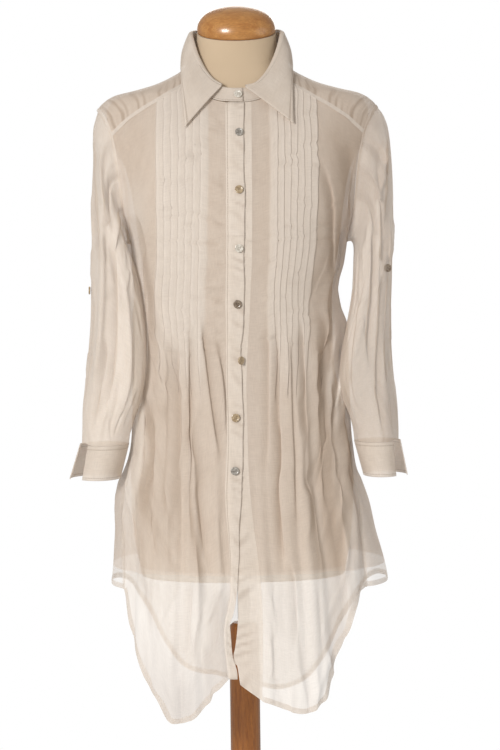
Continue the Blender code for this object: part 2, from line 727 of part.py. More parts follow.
def add_back(finish, fronts):
    """The back panel, whose side edges follow the fronts' ones."""
    plain = back_grid()
    grid = folded(plain, FOLDS["back"])
    rows = len(fronts["left"]) - len(plain)
    first = ARMHOLE_STEPS["back"]
    for column, side in ((0, "left"), (-1, "right")):
        edge = mirrored(fronts[side][:, -1], side)
        grid[first:, column] = edge[first + rows :]
    add_cloth("back", draw_in(grid, top=True, start=True, end=True), body_normals(plain), finish)


def yoke_grid():
    """The yoke from its left front seam, over the shoulder, round the back and over to the right."""
    turns = armhole_turns()
    node_angle, node_height = yoke_front_nodes()
    rows = len(node_angle)
    outer_angle, outer_height = armhole(turns["yoke"][::-1])
    back = np.linspace(outer_angle[-1], 2 * math.pi - outer_angle[-1], BACK_COLUMNS + 1)
    outer_angle = np.concatenate([outer_angle, back[1:-1], 2 * math.pi - outer_angle[::-1]])
    outer_height = np.concatenate([outer_height, np.full(len(back) - 2, BACK_CORNER_Z), outer_height[::-1]])
    count = len(outer_angle)
    start = node_angle[0]
    neck = np.linspace(0, 1, count)
    neck_angles = start + (2 * math.pi - 2 * start) * neck
    round_neck = np.degrees(np.minimum(neck_angles, 2 * math.pi - neck_angles))
    neck_heights = smooth(NECK_SEAM, "height", round_neck)
    neck_heights[0] = neck_heights[-1] = node_height[0]
    grid = np.zeros((rows, count, 3))
    first = (node_height - node_height[0]) / (node_height[-1] - node_height[0])
    even = np.linspace(0, 1, rows)
    for j in range(count):
        share = min(j, count - 1 - j) / ARMHOLE_STEPS["yoke"]
        mix = min(share, 1.0)
        down = first * (1 - mix) + even * mix
        angle = neck_angles[j] + (outer_angle[j] - neck_angles[j]) * down
        height = neck_heights[j] + (outer_height[j] - neck_heights[j]) * down
        if j == 0:
            angle, height = node_angle, node_height
        if j == count - 1:
            angle, height = 2 * math.pi - node_angle, node_height
        grid[:, j] = figure_point(BODY, angle, height)
    return grid


def add_yoke(finish):
    plain = yoke_grid()
    grid = draw_in(plain, top=True, bottom=True, start=True, end=True)
    add_cloth("yoke", grid, body_normals(plain), finish)


def stand_point(degrees, share, lap=0.0):
    """The collar stand at an angle, from the neck seam at share 0 to the fold at share 1."""
    around = np.abs(degrees)
    angle = np.radians(degrees)
    height = smooth(NECK_SEAM, "height", around)
    out = figure_normal(BODY, angle, height)
    up = np.array([0, 0, 1.0]) - out * out[..., 2:]
    up /= np.linalg.norm(up, axis=-1, keepdims=True)
    low = figure_point(BODY, angle, height) + up * (SEAM_GAP + WALL * out[..., 2:])
    low = low + out * np.reshape(lap, (-1, 1))
    radius = smooth(STAND_TOP, "radius", around) + lap
    high = np.stack([radius * np.sin(angle), -radius * np.cos(angle), smooth(STAND_TOP, "height", around)], -1)
    return low + (high - low) * share


def stand_lap(degrees):
    """How far the stand stands out at an angle going left from the front: its right end laps over."""
    return OPENING_LIFT * ease(degrees, 338, 352)


def add_collar(finish):
    """The stand, a band round the neck whose right end laps over its left, and the collar that folds from it."""
    degrees = np.concatenate([np.linspace(-7.0, 172.0, 16), np.linspace(184.0, 366.0, 16)])
    wrapped = (degrees + 180) % 360 - 180
    stand = np.array([stand_point(wrapped, share, stand_lap(degrees)) for share in (1.0, 0.5, 0.0)])
    out = grid_normals(stand)
    stand_wall = add_wall("collar_stand", stand, stand + out * WALL, finish)

    degrees = np.concatenate([
        np.linspace(COLLAR_FOLD_START["left"], 172, 15),
        np.linspace(188, 360 - COLLAR_FOLD_START["right"], 15),
    ])
    wrapped = (degrees + 180) % 360 - 180
    share = np.concatenate([np.linspace(0, 0.96, 15), np.linspace(0.96, 0, 15)])
    top = stand_point(wrapped, 1.0, stand_lap(degrees))
    flat = top * [1, 1, 0] / np.linalg.norm(top[:, :2], axis=1)[:, None]
    near_tip = np.where(wrapped > 0, np.clip(1 - share / 0.3, 0, 1), 0)
    edge_angle = np.radians((smooth(COLLAR_EDGE, "angle", share) + LEFT_TIP_TURN * near_tip) * np.sign(wrapped))
    edge_height = smooth(COLLAR_EDGE, "height", share) + LEFT_TIP_RISE * near_tip
    edge = figure_point(BODY, edge_angle, edge_height)
    edge = edge + figure_normal(BODY, edge_angle, edge_height) * smooth(COLLAR_EDGE, "off", share)[:, None]
    up = np.array([0, 0, 1.0])
    rows = [top + flat * out_by + up * up_by for out_by, up_by in COLLAR_ROLL]
    last = rows[-1]
    for down in (0.25, 0.5, 0.75, 1.0):
        rows.append(last + (edge - last) * down + flat * (0.0035 * math.sin(math.pi * down)))
    collar = np.array(rows)
    add_wall("collar", collar, collar + grid_normals(collar) * WALL, finish)
    return stand_wall


def sleeve_turns():
    turns = armhole_turns()
    return np.concatenate([turns["yoke"], turns["front"][1:], turns["back"][1:-1]])


def sleeve_ring(side, row, turn):
    """A ring of the sleeve as a plain ellipse."""
    rings = SLEEVE_RINGS
    outer = np.array([rings[side][row], 0, rings["outer_z"][row]])
    inner = np.array([rings["inner_" + side][row], 0, rings["inner_z"][row]])
    middle = (outer + inner) / 2 + [0, rings["centre_y"][row], 0]
    across = (outer - inner) / 2 * np.cos(turn)[:, None]
    return middle + across - np.array([0, 1, 0]) * (rings["half_depth"][row] * np.sin(turn))[:, None]


def sleeve_grid(side):
    """A sleeve as if it were the left one, rows down from the armhole."""
    turn = sleeve_turns()
    angle, height = armhole(turn)
    hole = figure_point(BODY, angle, height)
    middle = (SHOULDER_TIP_Z + UNDERARM_Z) / 2
    towards = figure_point(BODY, math.pi / 2, middle) - hole
    normal = figure_normal(BODY, angle, height)
    towards -= normal * (towards * normal).sum(-1, keepdims=True)
    towards /= np.linalg.norm(towards, axis=-1, keepdims=True)
    first = hole + towards * SEAM_GAP * 0.8
    top, bottom = hole[np.argmin(np.abs(turn))], hole[np.argmin(np.abs(turn - math.pi))]
    flat = (top + bottom) / 2 + (top - bottom) / 2 * np.cos(turn)[:, None]
    flat = flat + np.array([0, -1, 0]) * (0.066 * np.sin(turn))[:, None]
    rows = [first]
    for row in range(len(SLEEVE_RINGS["step"])):
        settled = SLEEVE_RINGS["settled"][row]
        rows.append(sleeve_ring(side, row, turn) + (hole - flat) * (1 - settled))
    grid = np.array(rows)
    count = len(grid)
    for i in range(5, count):
        down = (i - 5) / (count - 6)
        grown = math.sin(math.pi * min(down * 1.15 + 0.08, 1)) ** 0.6
        centre = grid[i].mean(0)
        way = grid[i] - centre
        way /= np.linalg.norm(way, axis=1)[:, None]
        for top_turn, end_turn, lift, half in zip(
            SLEEVE_FOLDS["turn_top"], SLEEVE_FOLDS["turn_end"], SLEEVE_FOLDS["lift"], SLEEVE_FOLDS["half_turn"]
        ):
            at = top_turn + (end_turn - top_turn) * down
            away = (np.degrees(turn) - at + 180) % 360 - 180
            grid[i] += way * (lift * grown * bump(away, half))[:, None]
    return grid, normal


def slit_rise(turn, down):
    """How far the sleeve's end is drawn up beside the cuff opening."""
    away = (turn - SLIT_TURN + math.pi) % (2 * math.pi) - math.pi
    return SLIT_HEIGHT * np.clip(1 - np.abs(away) / math.radians(20), 0, 1) * down


def add_sleeves(finish):
    turn = sleeve_turns()
    sleeves = {}
    for side in ("right", "left"):
        grid, normal = sleeve_grid(side)
        count = len(grid)
        for i in range(count - 4, count):
            grid[i, :, 2] += slit_rise(turn, (i - (count - 5)) / 4)
        out = -grid_normals(grid, wraps=True)
        out[0] = normal
        inner = draw_in(grid, bottom=True)
        name = "sleeve_" + side
        sleeve = add_wall(name, mirrored(inner, side), mirrored(inner + out * WALL, side), finish, wraps=True)
        sleeves[side] = (grid, out, sleeve)
    return sleeves


def cuff_grid(side):
    """A cuff as if it were the left one: an open band whose back end has fallen away from its front end."""
    turns = SLIT_TURN + np.linspace(CUFF_OPEN, 2 * math.pi - CUFF_OPEN, 22)
    last = len(SLEEVE_RINGS["step"]) - 1
    rows = []
    for down in (0.0, 0.33, 0.67, 1.0):
        ring = sleeve_ring(side, last, turns)
        centre = ring.mean(0)
        way = (ring - centre) * [1, 1, 0]
        way /= np.linalg.norm(way, axis=1)[:, None]
        outward = (1 + np.cos(turns)) / 2
        fallen = 0.011 * ease(turns - SLIT_TURN, math.radians(270), math.radians(345))
        ring = ring + way * (fallen * (0.25 + 0.75 * down))[:, None]
        ring[:, 0] += down * (CUFF_SLANT * (1 - outward) + CUFF_FLARE[side] * outward)
        ring[:, 2] -= SEAM_GAP + (CUFF_HEIGHT - SEAM_GAP) * down
        rows.append(ring)
    return np.array(rows)


def add_cuffs(finish):
    for side in ("right", "left"):
        grid = cuff_grid(side)
        out = -grid_normals(grid)
        add_wall("cuff_" + side, mirrored(grid, side), mirrored(grid + out * BAND_WALL, side), finish)


def add_button(name, centre, out, finish):
    """A shell button, a dished disc with a rounded rim, facing along out."""
    half = BUTTON_THICK / 2
    profile = [
        (0, 0.15 * half), (BUTTON_R * 0.55, 0.15 * half), (BUTTON_R * 0.78, half),
        (BUTTON_R * 0.95, 0.6 * half), (BUTTON_R, -0.2 * half), (BUTTON_R * 0.85, -half), (0, -half),
    ]
    button = add_turned(name, profile, finish, 12)
    out = np.array(out) / np.linalg.norm(out)
    side = np.cross([0, 0, 1], out)
    side /= np.linalg.norm(side)
    turn = np.stack([side, np.cross(out, side), out], 1)
    points = np.array([v.co for v in button.data.vertices]) @ turn.T + np.array(centre) + out * half
    button.data.vertices.foreach_set("co", points.ravel())
    button.data.update()
    return button


def seat(obj, near, out):
    """Where a line along out, through a point near an object, first meets its outer side."""
    mesh = obj.data
    tree = BVHTree.FromPolygons([v.co for v in mesh.vertices], [tuple(f.vertices) for f in mesh.polygons])
    spot, facing, _, _ = tree.ray_cast(Vector(near + out * 0.02), Vector(-out))
    return np.array(spot), np.array(facing)


def add_buttons(finish, stand, band, sleeves):
    low, middle, high = (stand_point(np.array([1.0]), share, OPENING_LIFT)[0] for share in (0.0, 0.55, 1.0))
    out = np.cross(high - low, [-1.0, 0, 0])
    spot, facing = seat(stand, middle, out / np.linalg.norm(out))
    add_button("button_1", spot + facing * LAP_GAP, facing, finish)
    for i, height in enumerate(BUTTONS["height"]):
        angle = float(signed_angle(BUTTONS["x"][i], height))
        out = figure_normal(BODY, angle, height)
        spot, facing = seat(band, figure_point(BODY, angle, height), out)
        turned = math.radians(BUTTONS["turned"][i])
        spot = spot + facing * (LAP_GAP + 0.68 * BUTTON_R * math.sin(turned))
        facing = facing * math.cos(turned) + np.array([1.0, 0, 0]) * math.sin(turned)
        add_button(f"button_{i + 2}", spot, facing, finish)
    turn = sleeve_turns()
    for side, (grid, out, sleeve) in sleeves.items():
        away = np.abs((turn - SLEEVE_BUTTON_TURN[side] + math.pi) % (2 * math.pi) - math.pi)
        column = int(np.argmin(away))
        heights = grid[::-1, column, 2]
        middle = np.array([np.interp(SLEEVE_BUTTON_Z[side], heights, grid[::-1, column, i]) for i in range(3)])
        row = int(np.argmin(np.abs(grid[:, column, 2] - SLEEVE_BUTTON_Z[side])))
        spot, facing = seat(sleeve, mirrored(middle, side), mirrored(out[row, column], side))
        add_button("sleeve_button_" + side, spot + facing * LAP_GAP, facing, finish)


def form_grid(steps):
    """The dress form's rings, the neck's leaning forward."""
    angles = np.linspace(0, 2 * math.pi, steps, endpoint=False)
    rings = []
    for height in FORM["height"]:
        ring = figure_point(FORM, angles, height)
        lean = NECK_TILT * ease(height, NECK_TILT_FROM, FORM["height"][-1])
        ring[:, 2] += lean * (ring[:, 1] - 0.0085)
        rings.append(ring)
    return np.array(rings)


def add_form(cloth, wood, dark_wood, steel):
    """The torso with its neck, the wooden neck cap, and the rod, pole and foot that it stands on."""
    steps = 28
    rings = form_grid(steps)
    points = rings.reshape(-1, 3)
    count = len(rings)
    faces = [tuple(range(steps)), tuple((count - 1) * steps + j for j in range(steps))[::-1]]
    for i in range(count - 1):
        for j in range(steps):
            k = (j + 1) % steps
            faces.append((i * steps + j, i * steps + k, (i + 1) * steps + k, (i + 1) * steps + j))
    add_object("form_torso", points, faces, cloth, smooth_angle=60)

    top = rings[-1]
    centre = top.mean(0)
    lean = math.atan(NECK_TILT)
    up = np.array([0, -math.sin(lean), math.cos(lean)])
    dome = []
    for share, rise in ((0.97, 0.0), (1.0, 0.10), (0.985, 0.30), (0.90, 0.55), (0.72, 0.78), (0.42, 0.94)):
        dome.append(centre + (top - centre) * share + up * (LAP_GAP + rise * CAP_HEIGHT))
    points = list(np.array(dome).reshape(-1, 3)) + [centre + up * LAP_GAP, centre + up * (LAP_GAP + CAP_HEIGHT)]
    low, high = len(points) - 2, len(points) - 1
    faces = []
    last = (len(dome) - 1) * steps
    for j in range(steps):
        k = (j + 1) % steps
        faces += [(low, k, j), (high, last + j, last + k)]
        for i in range(len(dome) - 1):
            faces.append((i * steps + j, i * steps + k, (i + 1) * steps + k, (i + 1) * steps + j))
    add_object("form_neck_cap", points, faces, wood, smooth_angle=60)

    rod_top, rod_low = FORM_BOTTOM_Z - LAP_GAP, POLE_TOP_Z + LAP_GAP
    add_turned("form_rod", [(0, rod_top), (ROD_R, rod_top), (ROD_R, rod_low), (0, rod_low)], steel, 16)
    foot = BASE_THICK + LAP_GAP
    pole = [
        (0, POLE_TOP_Z), (POLE_R * 0.72, POLE_TOP_Z), (POLE_R * 0.93, POLE_TOP_Z - 0.004),
        (POLE_R, POLE_TOP_Z - 0.012), (POLE_R, foot), (0, foot),
    ]
    add_turned("form_pole", pole, dark_wood, 24)
    base = [
        (0, BASE_THICK), (0.045, BASE_THICK), (BASE_R - 0.030, 0.019), (BASE_R - 0.008, 0.016),
        (BASE_R, 0.010), (BASE_R, 0.003), (BASE_R - 0.003, 0.0), (0, 0.0),
    ]
    add_turned("form_base", base, dark_wood, 40)


def main():
    for obj in list(bpy.data.objects):
        bpy.data.objects.remove(obj)
    cotton = material("cotton_voile", CREAM, 0.9)
    pearl = material("shell_button", PEARL, 0.25)
    canvas = material("form_canvas", FORM_CLOTH, 0.85)
    cap_wood = material("cap_wood", CAP_WOOD, 0.3)
    pole_wood = material("pole_wood", POLE_WOOD, 0.35)
    steel = material("steel", STEEL, 0.35, 1.0)
    fronts = add_fronts(cotton)
    bands = add_bands(cotton, fronts)
    add_back(cotton, fronts)
    add_yoke(cotton)
    stand = add_collar(cotton)
    sleeves = add_sleeves(cotton)
    add_cuffs(cotton)
    add_buttons(pearl, stand, bands["right"], sleeves)
    add_form(canvas, cap_wood, pole_wood, steel)


main()
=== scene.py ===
# %% [markdown]
# # A long sheer blouse on a dress form
#
# The solids of the part are thick, plain walls. Here each of them gets the piece that is seen: thin cotton
# voile with its tucks, seams and creases, shell buttons, a jersey-covered form and turned wood.
# All lengths are metres, +Z is up, the front faces -Y and the wearer's left is +X.

# %% Load the frame
import math

import bpy
import numpy as np
from mathutils import Matrix, Vector


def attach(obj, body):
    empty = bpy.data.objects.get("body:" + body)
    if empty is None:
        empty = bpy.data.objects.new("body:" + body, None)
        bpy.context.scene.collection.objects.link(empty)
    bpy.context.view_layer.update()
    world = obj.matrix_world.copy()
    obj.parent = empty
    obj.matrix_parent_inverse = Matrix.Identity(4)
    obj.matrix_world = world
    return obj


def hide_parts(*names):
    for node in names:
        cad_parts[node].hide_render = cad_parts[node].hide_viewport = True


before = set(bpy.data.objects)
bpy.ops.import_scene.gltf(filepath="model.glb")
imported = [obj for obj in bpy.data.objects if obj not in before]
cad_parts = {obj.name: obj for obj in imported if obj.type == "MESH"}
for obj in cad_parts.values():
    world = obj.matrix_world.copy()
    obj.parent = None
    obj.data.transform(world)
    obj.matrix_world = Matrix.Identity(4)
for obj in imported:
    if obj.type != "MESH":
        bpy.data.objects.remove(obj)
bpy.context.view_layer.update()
bpy.ops.object.select_all(action="DESELECT")
print("solids:", len(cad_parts))

# %% [markdown]
# ## Camera and light
#
# The photograph was taken from about three metres, a little above the waist, looking slightly down. A long
# lens keeps the shoulders and the hem in proportion. Large soft lights stand for a studio's umbrellas, and
# the backdrop is pure white.

# %% Camera
CAMERA_PLACE = Vector((0.0, -3.0, 1.1526))
CAMERA_DOWN, CAMERA_ASIDE, CAMERA_ROLL = math.radians(3.104), math.radians(0.2565), math.radians(-0.74)
LENS_PIXELS, PHOTO_HEIGHT = 2055.0, 750
SENSOR_HEIGHT = 36.0

ahead = Vector((
    math.sin(CAMERA_ASIDE) * math.cos(CAMERA_DOWN),
    math.cos(CAMERA_ASIDE) * math.cos(CAMERA_DOWN),
    -math.sin(CAMERA_DOWN),
))
aside = ahead.cross(Vector((0, 0, 1))).normalized()
bpy.ops.object.camera_add(location=CAMERA_PLACE)
camera = bpy.context.object
camera.data.sensor_fit = "VERTICAL"
camera.data.sensor_height = SENSOR_HEIGHT
camera.data.lens = LENS_PIXELS / PHOTO_HEIGHT * SENSOR_HEIGHT
turned = Matrix((aside, aside.cross(ahead), -ahead)).transposed().to_4x4()
turned = turned @ Matrix.Rotation(CAMERA_ROLL, 4, "Z")
turned.translation = CAMERA_PLACE
camera.matrix_world = turned
bpy.context.scene.camera = camera
print("lens:", round(camera.data.lens, 2), "mm")


# %% Lights, a white backdrop and a pale floor
SOFTBOXES = {
    # name: place, aim, size, watts, colour
    "key_light": ((-1.55, -3.0, 1.9), (0, 0, 1.0), 1.0, 80, (1.0, 0.975, 0.945)),
    "fill_light": ((2.6, -1.0, 1.4), (0.1, 0, 0.95), 2.0, 9, (1.0, 0.96, 0.91)),
    "back_light": ((0.2, 2.6, 2.3), (0, 0, 1.1), 2.2, 30, (1.0, 0.99, 0.97)),
}
ROOM_COLOUR, ROOM_STRENGTH = (1.0, 0.945, 0.885, 1), 0.38
BACKDROP_COLOUR = (1, 1, 1, 1)
FLOOR_COLOUR, FLOOR_RADIUS = (0.86, 0.85, 0.83, 1), 1.5

for name, (place, aim, size, watts, colour) in SOFTBOXES.items():
    bpy.ops.object.light_add(type="AREA", location=place)
    light = bpy.context.object
    light.name = name
    light.data.shape = "DISK"
    light.data.size = size
    light.data.energy = watts
    light.data.color = colour
    light.rotation_euler = (Vector(aim) - Vector(place)).to_track_quat("-Z", "Y").to_euler()

world = bpy.data.worlds.new("studio")
bpy.context.scene.world = world
world.use_nodes = True
tree = world.node_tree
around = tree.nodes["Background"]
around.inputs["Color"].default_value = ROOM_COLOUR
around.inputs["Strength"].default_value = ROOM_STRENGTH
seen = tree.nodes.new("ShaderNodeBackground")
seen.inputs["Color"].default_value = BACKDROP_COLOUR
seen.inputs["Strength"].default_value = 1.0
path = tree.nodes.new("ShaderNodeLightPath")
choice = tree.nodes.new("ShaderNodeMixShader")
tree.links.new(path.outputs["Is Camera Ray"], choice.inputs[0])
tree.links.new(around.outputs[0], choice.inputs[1])
tree.links.new(seen.outputs[0], choice.inputs[2])
tree.links.new(choice.outputs[0], tree.nodes["World Output"].inputs["Surface"])
bpy.context.scene.view_settings.view_transform = "Standard"

bpy.ops.mesh.primitive_circle_add(vertices=96, radius=FLOOR_RADIUS, fill_type="NGON")
floor = bpy.context.object
floor.name = "floor"
paint = bpy.data.materials.new("pale_floor")
paint.use_nodes = True
paint.node_tree.nodes["Principled BSDF"].inputs["Base Color"].default_value = FLOOR_COLOUR
paint.node_tree.nodes["Principled BSDF"].inputs["Roughness"].default_value = 0.7
floor.data.materials.append(paint)

# %% [markdown]
# ## The worn shape
#
# A worn shirt is a figure seen through cloth, so the whole garment is read from one smooth figure: at each
# height it has a half width, a front and a back depth, and an angle says where a point lies round it, from 0
# at the centre front to 180 at the centre back. The same named sizes shaped the solids, so what is made here
# lies on them; only the sleeves and the loose end of the left band hang a little apart from theirs.

# %% The figure's sections
FULL_TURN = 2 * math.pi
SIGN = {"left": 1, "right": -1}
WALL, SEAM_GAP, LAP_GAP = 0.0012, 0.0005, 0.0004
SHOULDER_TIP_Z, UNDERARM_Z = 1.380, 1.182
FRONT_CORNER_Z, BACK_CORNER_Z, SIDE_HEM_Z = 1.337, 1.335, 0.690
ARMHOLE_MIDDLE, ARMHOLE_HALF = (SHOULDER_TIP_Z + UNDERARM_Z) / 2, (SHOULDER_TIP_Z - UNDERARM_Z) / 2
ARMHOLE_SPREAD = math.radians(22)


def table(columns, rows):
    """Rows of numbers as named columns, in rising order of the first one."""
    values = np.array(sorted(rows), float)
    return {name: values[:, i] for i, name in enumerate(columns.split())}


BODY = table("height half_width front back squareness", [
    (0.480, 0.204, 0.150, 0.158, 2.3), (0.600, 0.203, 0.149, 0.155, 2.3), (0.690, 0.2015, 0.144, 0.151, 2.3),
    (0.730, 0.196, 0.141, 0.148, 2.3), (0.765, 0.190, 0.138, 0.146, 2.3), (0.800, 0.186, 0.136, 0.143, 2.3),
    (0.835, 0.178, 0.134, 0.138, 2.3), (0.850, 0.171, 0.133, 0.135, 2.3), (0.870, 0.165, 0.132, 0.132, 2.4),
    (0.900, 0.1605, 0.130, 0.127, 2.4), (0.950, 0.158, 0.127, 0.118, 2.4), (1.020, 0.157, 0.125, 0.108, 2.4),
    (1.064, 0.1555, 0.128, 0.107, 2.4), (1.090, 0.150, 0.131, 0.108, 2.4), (1.113, 0.147, 0.133, 0.109, 2.5),
    (1.153, 0.153, 0.137, 0.112, 2.6), (1.182, 0.156, 0.138, 0.114, 2.6), (1.230, 0.171, 0.134, 0.118, 2.6),
    (1.280, 0.186, 0.123, 0.119, 2.5), (1.310, 0.196, 0.114, 0.117, 2.4), (1.340, 0.205, 0.103, 0.111, 2.2),
    (1.357, 0.208, 0.094, 0.105, 2.1), (1.370, 0.206, 0.087, 0.101, 2.0), (1.380, 0.2005, 0.081, 0.096, 2.0),
    (1.390, 0.190, 0.075, 0.092, 2.0), (1.397, 0.177, 0.071, 0.089, 2.0), (1.4035, 0.150, 0.067, 0.086, 2.0),
    (1.412, 0.120, 0.063, 0.082, 2.0), (1.4205, 0.100, 0.060, 0.079, 2.0), (1.433, 0.079, 0.055, 0.074, 2.0),
    (1.447, 0.0695, 0.052, 0.070, 2.0), (1.470, 0.065, 0.050, 0.068, 2.0),
])
# How far the worn cloth leans to the wearer's left, as a share of its width
SWAY = table("height share", [
    (0.45, 0.045), (0.70, 0.045), (0.76, 0.020), (0.80, 0), (0.84, -0.02), (0.89, 0), (1.06, 0),
    (1.09, -0.030), (1.113, -0.035), (1.153, -0.010), (1.18, 0), (1.5, 0),
])
FORM = table("height half_width front back squareness", [
    (0.700, 0.148, 0.100, 0.118, 2.3), (0.760, 0.159, 0.106, 0.126, 2.3), (0.840, 0.163, 0.104, 0.126, 2.3),
    (0.920, 0.152, 0.098, 0.112, 2.2), (1.020, 0.1355, 0.092, 0.090, 2.1), (1.100, 0.134, 0.108, 0.096, 2.2),
    (1.180, 0.145, 0.127, 0.104, 2.3), (1.220, 0.150, 0.127, 0.108, 2.3), (1.280, 0.160, 0.112, 0.109, 2.3),
    (1.320, 0.176, 0.098, 0.106, 2.2), (1.348, 0.187, 0.084, 0.098, 2.1), (1.371, 0.190, 0.074, 0.089, 2.0),
    (1.388, 0.183, 0.067, 0.084, 2.0), (1.3956, 0.170, 0.063, 0.081, 2.0), (1.4016, 0.147, 0.060, 0.078, 2.0),
    (1.4115, 0.117, 0.056, 0.075, 2.0), (1.4205, 0.095, 0.053, 0.072, 2.0), (1.434, 0.074, 0.050, 0.069, 2.0),
    (1.449, 0.0620, 0.048, 0.066, 2.0), (1.470, 0.0585, 0.046, 0.0635, 2.0),
    (1.4895, 0.0570, 0.0450, 0.0615, 2.0),
])


# %% Reading the figure
REACH = 5e-4


def smooth(values, name, at):
    """A table's column at a height or angle, by a monotone cubic through its rows."""
    xs, ys = values[next(iter(values))], values[name]
    at = np.clip(np.asarray(at, float), xs[0], xs[-1])
    step = np.diff(xs)
    slope = np.diff(ys) / step
    tangent = np.zeros(len(xs))
    tangent[0], tangent[-1] = slope[0], slope[-1]
    for i in range(1, len(xs) - 1):
        if slope[i - 1] * slope[i] > 0:
            near, far = 2 * step[i] + step[i - 1], step[i] + 2 * step[i - 1]
            tangent[i] = (near + far) / (near / slope[i - 1] + far / slope[i])
    i = np.clip(np.searchsorted(xs, at, side="right") - 1, 0, len(step) - 1)
    t = (at - xs[i]) / step[i]
    return (
        ys[i] * (1 + 2 * t) * (1 - t) ** 2
        + tangent[i] * step[i] * t * (1 - t) ** 2
        + ys[i + 1] * t * t * (3 - 2 * t)
        + tangent[i + 1] * step[i] * t * t * (t - 1)
    )


def figure_point(figure, angle, height):
    """The point of a figure at this angle, in radians, and height."""
    angle, height = np.broadcast_arrays(np.asarray(angle, float), np.asarray(height, float))
    across, forward = np.sin(angle), np.cos(angle)
    square = smooth(figure, "squareness", height)
    depth = np.where(forward > 0, smooth(figure, "front", height), smooth(figure, "back", height))
    wide = smooth(figure, "half_width", height)
    radius = (np.abs(across / wide) ** square + np.abs(forward / depth) ** square) ** (-1 / square)
    return np.stack([radius * across, -radius * forward, height], -1)


def unit(vectors):
    """Vectors of any length as vectors of length 1."""
    return vectors / np.maximum(np.linalg.norm(vectors, axis=-1, keepdims=True), 1e-12)


def figure_normal(figure, angle, height):
    """The outward direction there."""
    angle, height = np.asarray(angle, float), np.asarray(height, float)
    along = figure_point(figure, angle + REACH, height) - figure_point(figure, angle - REACH, height)
    up = figure_point(figure, angle, height + REACH) - figure_point(figure, angle, height - REACH)
    return unit(np.cross(along, up))


def front_angle(x, height):
    """The angle at which the front is this far from the centre line."""
    square = smooth(BODY, "squareness", height)
    share = np.maximum(x, 1e-5) ** -square - smooth(BODY, "half_width", height) ** -square
    return np.arctan2(1.0, smooth(BODY, "front", height) * np.maximum(share, 1e-9) ** (1 / square))


def signed_angle(x, height):
    """The same for a point on either side of the centre line."""
    return np.sign(x) * front_angle(np.abs(x), height)


def ease(value, start, end):
    """A soft step from 0 at start to 1 at end, which may also lie below start."""
    share = np.clip((value - start) / (end - start), 0, 1)
    return share * share * (3 - 2 * share)


def bump(distance, half_width):
    """1 on a crest and 0 past its sides."""
    return np.cos(np.clip(np.abs(distance) / half_width, 0, 1) * math.pi / 2) ** 2


# %% [markdown]
# ## Folds and creases
#
# The skirt falls into long soft folds that start under the tucks. Smaller creases lie over them: short
# puckers along the seams, faint crinkles across the plain strips, and knife-sharp ones that lean over
# themselves. A simulation would find folds of its own, so these are placed one by one: each crease is a line
# on the figure with a height, a width and a lean.

# %% Long folds, in degrees round the figure
FOLDS = table("waist_angle hem_angle lift half_angle start_height", [
    (10, 12, 0.0030, 4.5, 0.95), (24, 26, 0.0045, 5.5, 1.02), (35, 34, 0.0050, 4.5, 1.02),
    (42.5, 43.5, -0.0075, 4.5, 1.10), (52, 53, 0.0060, 6.0, 1.00),
    (-17, -12, 0.0050, 4.5, 1.00), (-27, -27, 0.0065, 4.5, 1.03), (-34, -35.5, -0.0050, 3.8, 1.03),
    (-41, -45, 0.0055, 5.5, 1.00), (-54, -55, 0.0050, 5.5, 0.98),
    (-150, -148, 0.0075, 8.0, 1.02), (-128, -122, 0.0060, 8.0, 0.98), (-172, -173, 0.0050, 7.0, 1.00),
    (100, 96, 0.0030, 7.0, 0.80), (126, 121, 0.0065, 8.0, 1.00), (148, 150, 0.0075, 8.5, 1.04),
    (168, 170, 0.0055, 6.5, 1.02), (-100, -96, 0.0030, 7.0, 0.80),
])
FOLD_TOP_Z, FOLD_DROP, FOLD_GROWTH = 1.0, 0.45, 0.22
# Metres round the figure for each radian, to place creases
ROUND = 0.16
# A crease is full from the first to the second of these shares of its length, and a lift this deep gets the
# darkest painted shade
CREASE_GROWN, CREASE_FADES = 0.22, 0.70
FULL_SHADE_LIFT = 0.0055
# Creases past this angle are read on the back's own count of degrees, 0 to 360
BEHIND_FROM = math.radians(94)


def wrap(angle, whole=FULL_TURN):
    """An angle brought to between minus half a turn and half a turn."""
    return (angle + whole / 2) % whole - whole / 2


def fold_lift(angle, height):
    """How far the long folds move the cloth out."""
    degrees = np.degrees(angle)
    down = np.clip((FOLD_TOP_Z - height) / FOLD_DROP, 0, 1)
    lift = np.zeros(np.broadcast(angle, height).shape)
    for waist, hem, high, half, start in zip(*FOLDS.values()):
        away = wrap(degrees - waist - (hem - waist) * down, 360)
        lift += high * ease(height, start, start - FOLD_GROWTH) * bump(away, half)
    return lift


def bell(distance):
    """1 at the middle and close to 0 from 2 on."""
    return np.exp(-np.minimum(distance**2, 40))


def crease_field(lines, along, height):
    """(lift, slide, shade) of creases.

    Each line gives its start along the cloth and height, its end along and height, its lift, half width, lean
    and bow. The shade lies in a trough, and beside a ridge on the side away from the key light."""
    lift, slide, shade = (np.zeros(np.shape(height)) for _ in range(3))
    for a0, z0, a1, z1, high, half, lean, bow in lines:
        length = math.hypot(a1 - a0, z1 - z0)
        way = ((a1 - a0) / length, (z1 - z0) / length)
        down = ((along - a0) * way[0] + (height - z0) * way[1]) / length
        off = (along - a0) * way[1] - (height - z0) * way[0] - bow * 4 * down * (1 - down)
        held = ease(down, 0, CREASE_GROWN) * ease(down, 1, CREASE_FADES)
        form = held * bell(off / half)
        lift += high * form
        slide += lean * half * form
        flank = off / half + (0.9 if high > 0 else -0.2)
        shade += held * min(abs(high) / FULL_SHADE_LIFT, 1) * bell(flank / 0.9)
    return lift, slide, shade


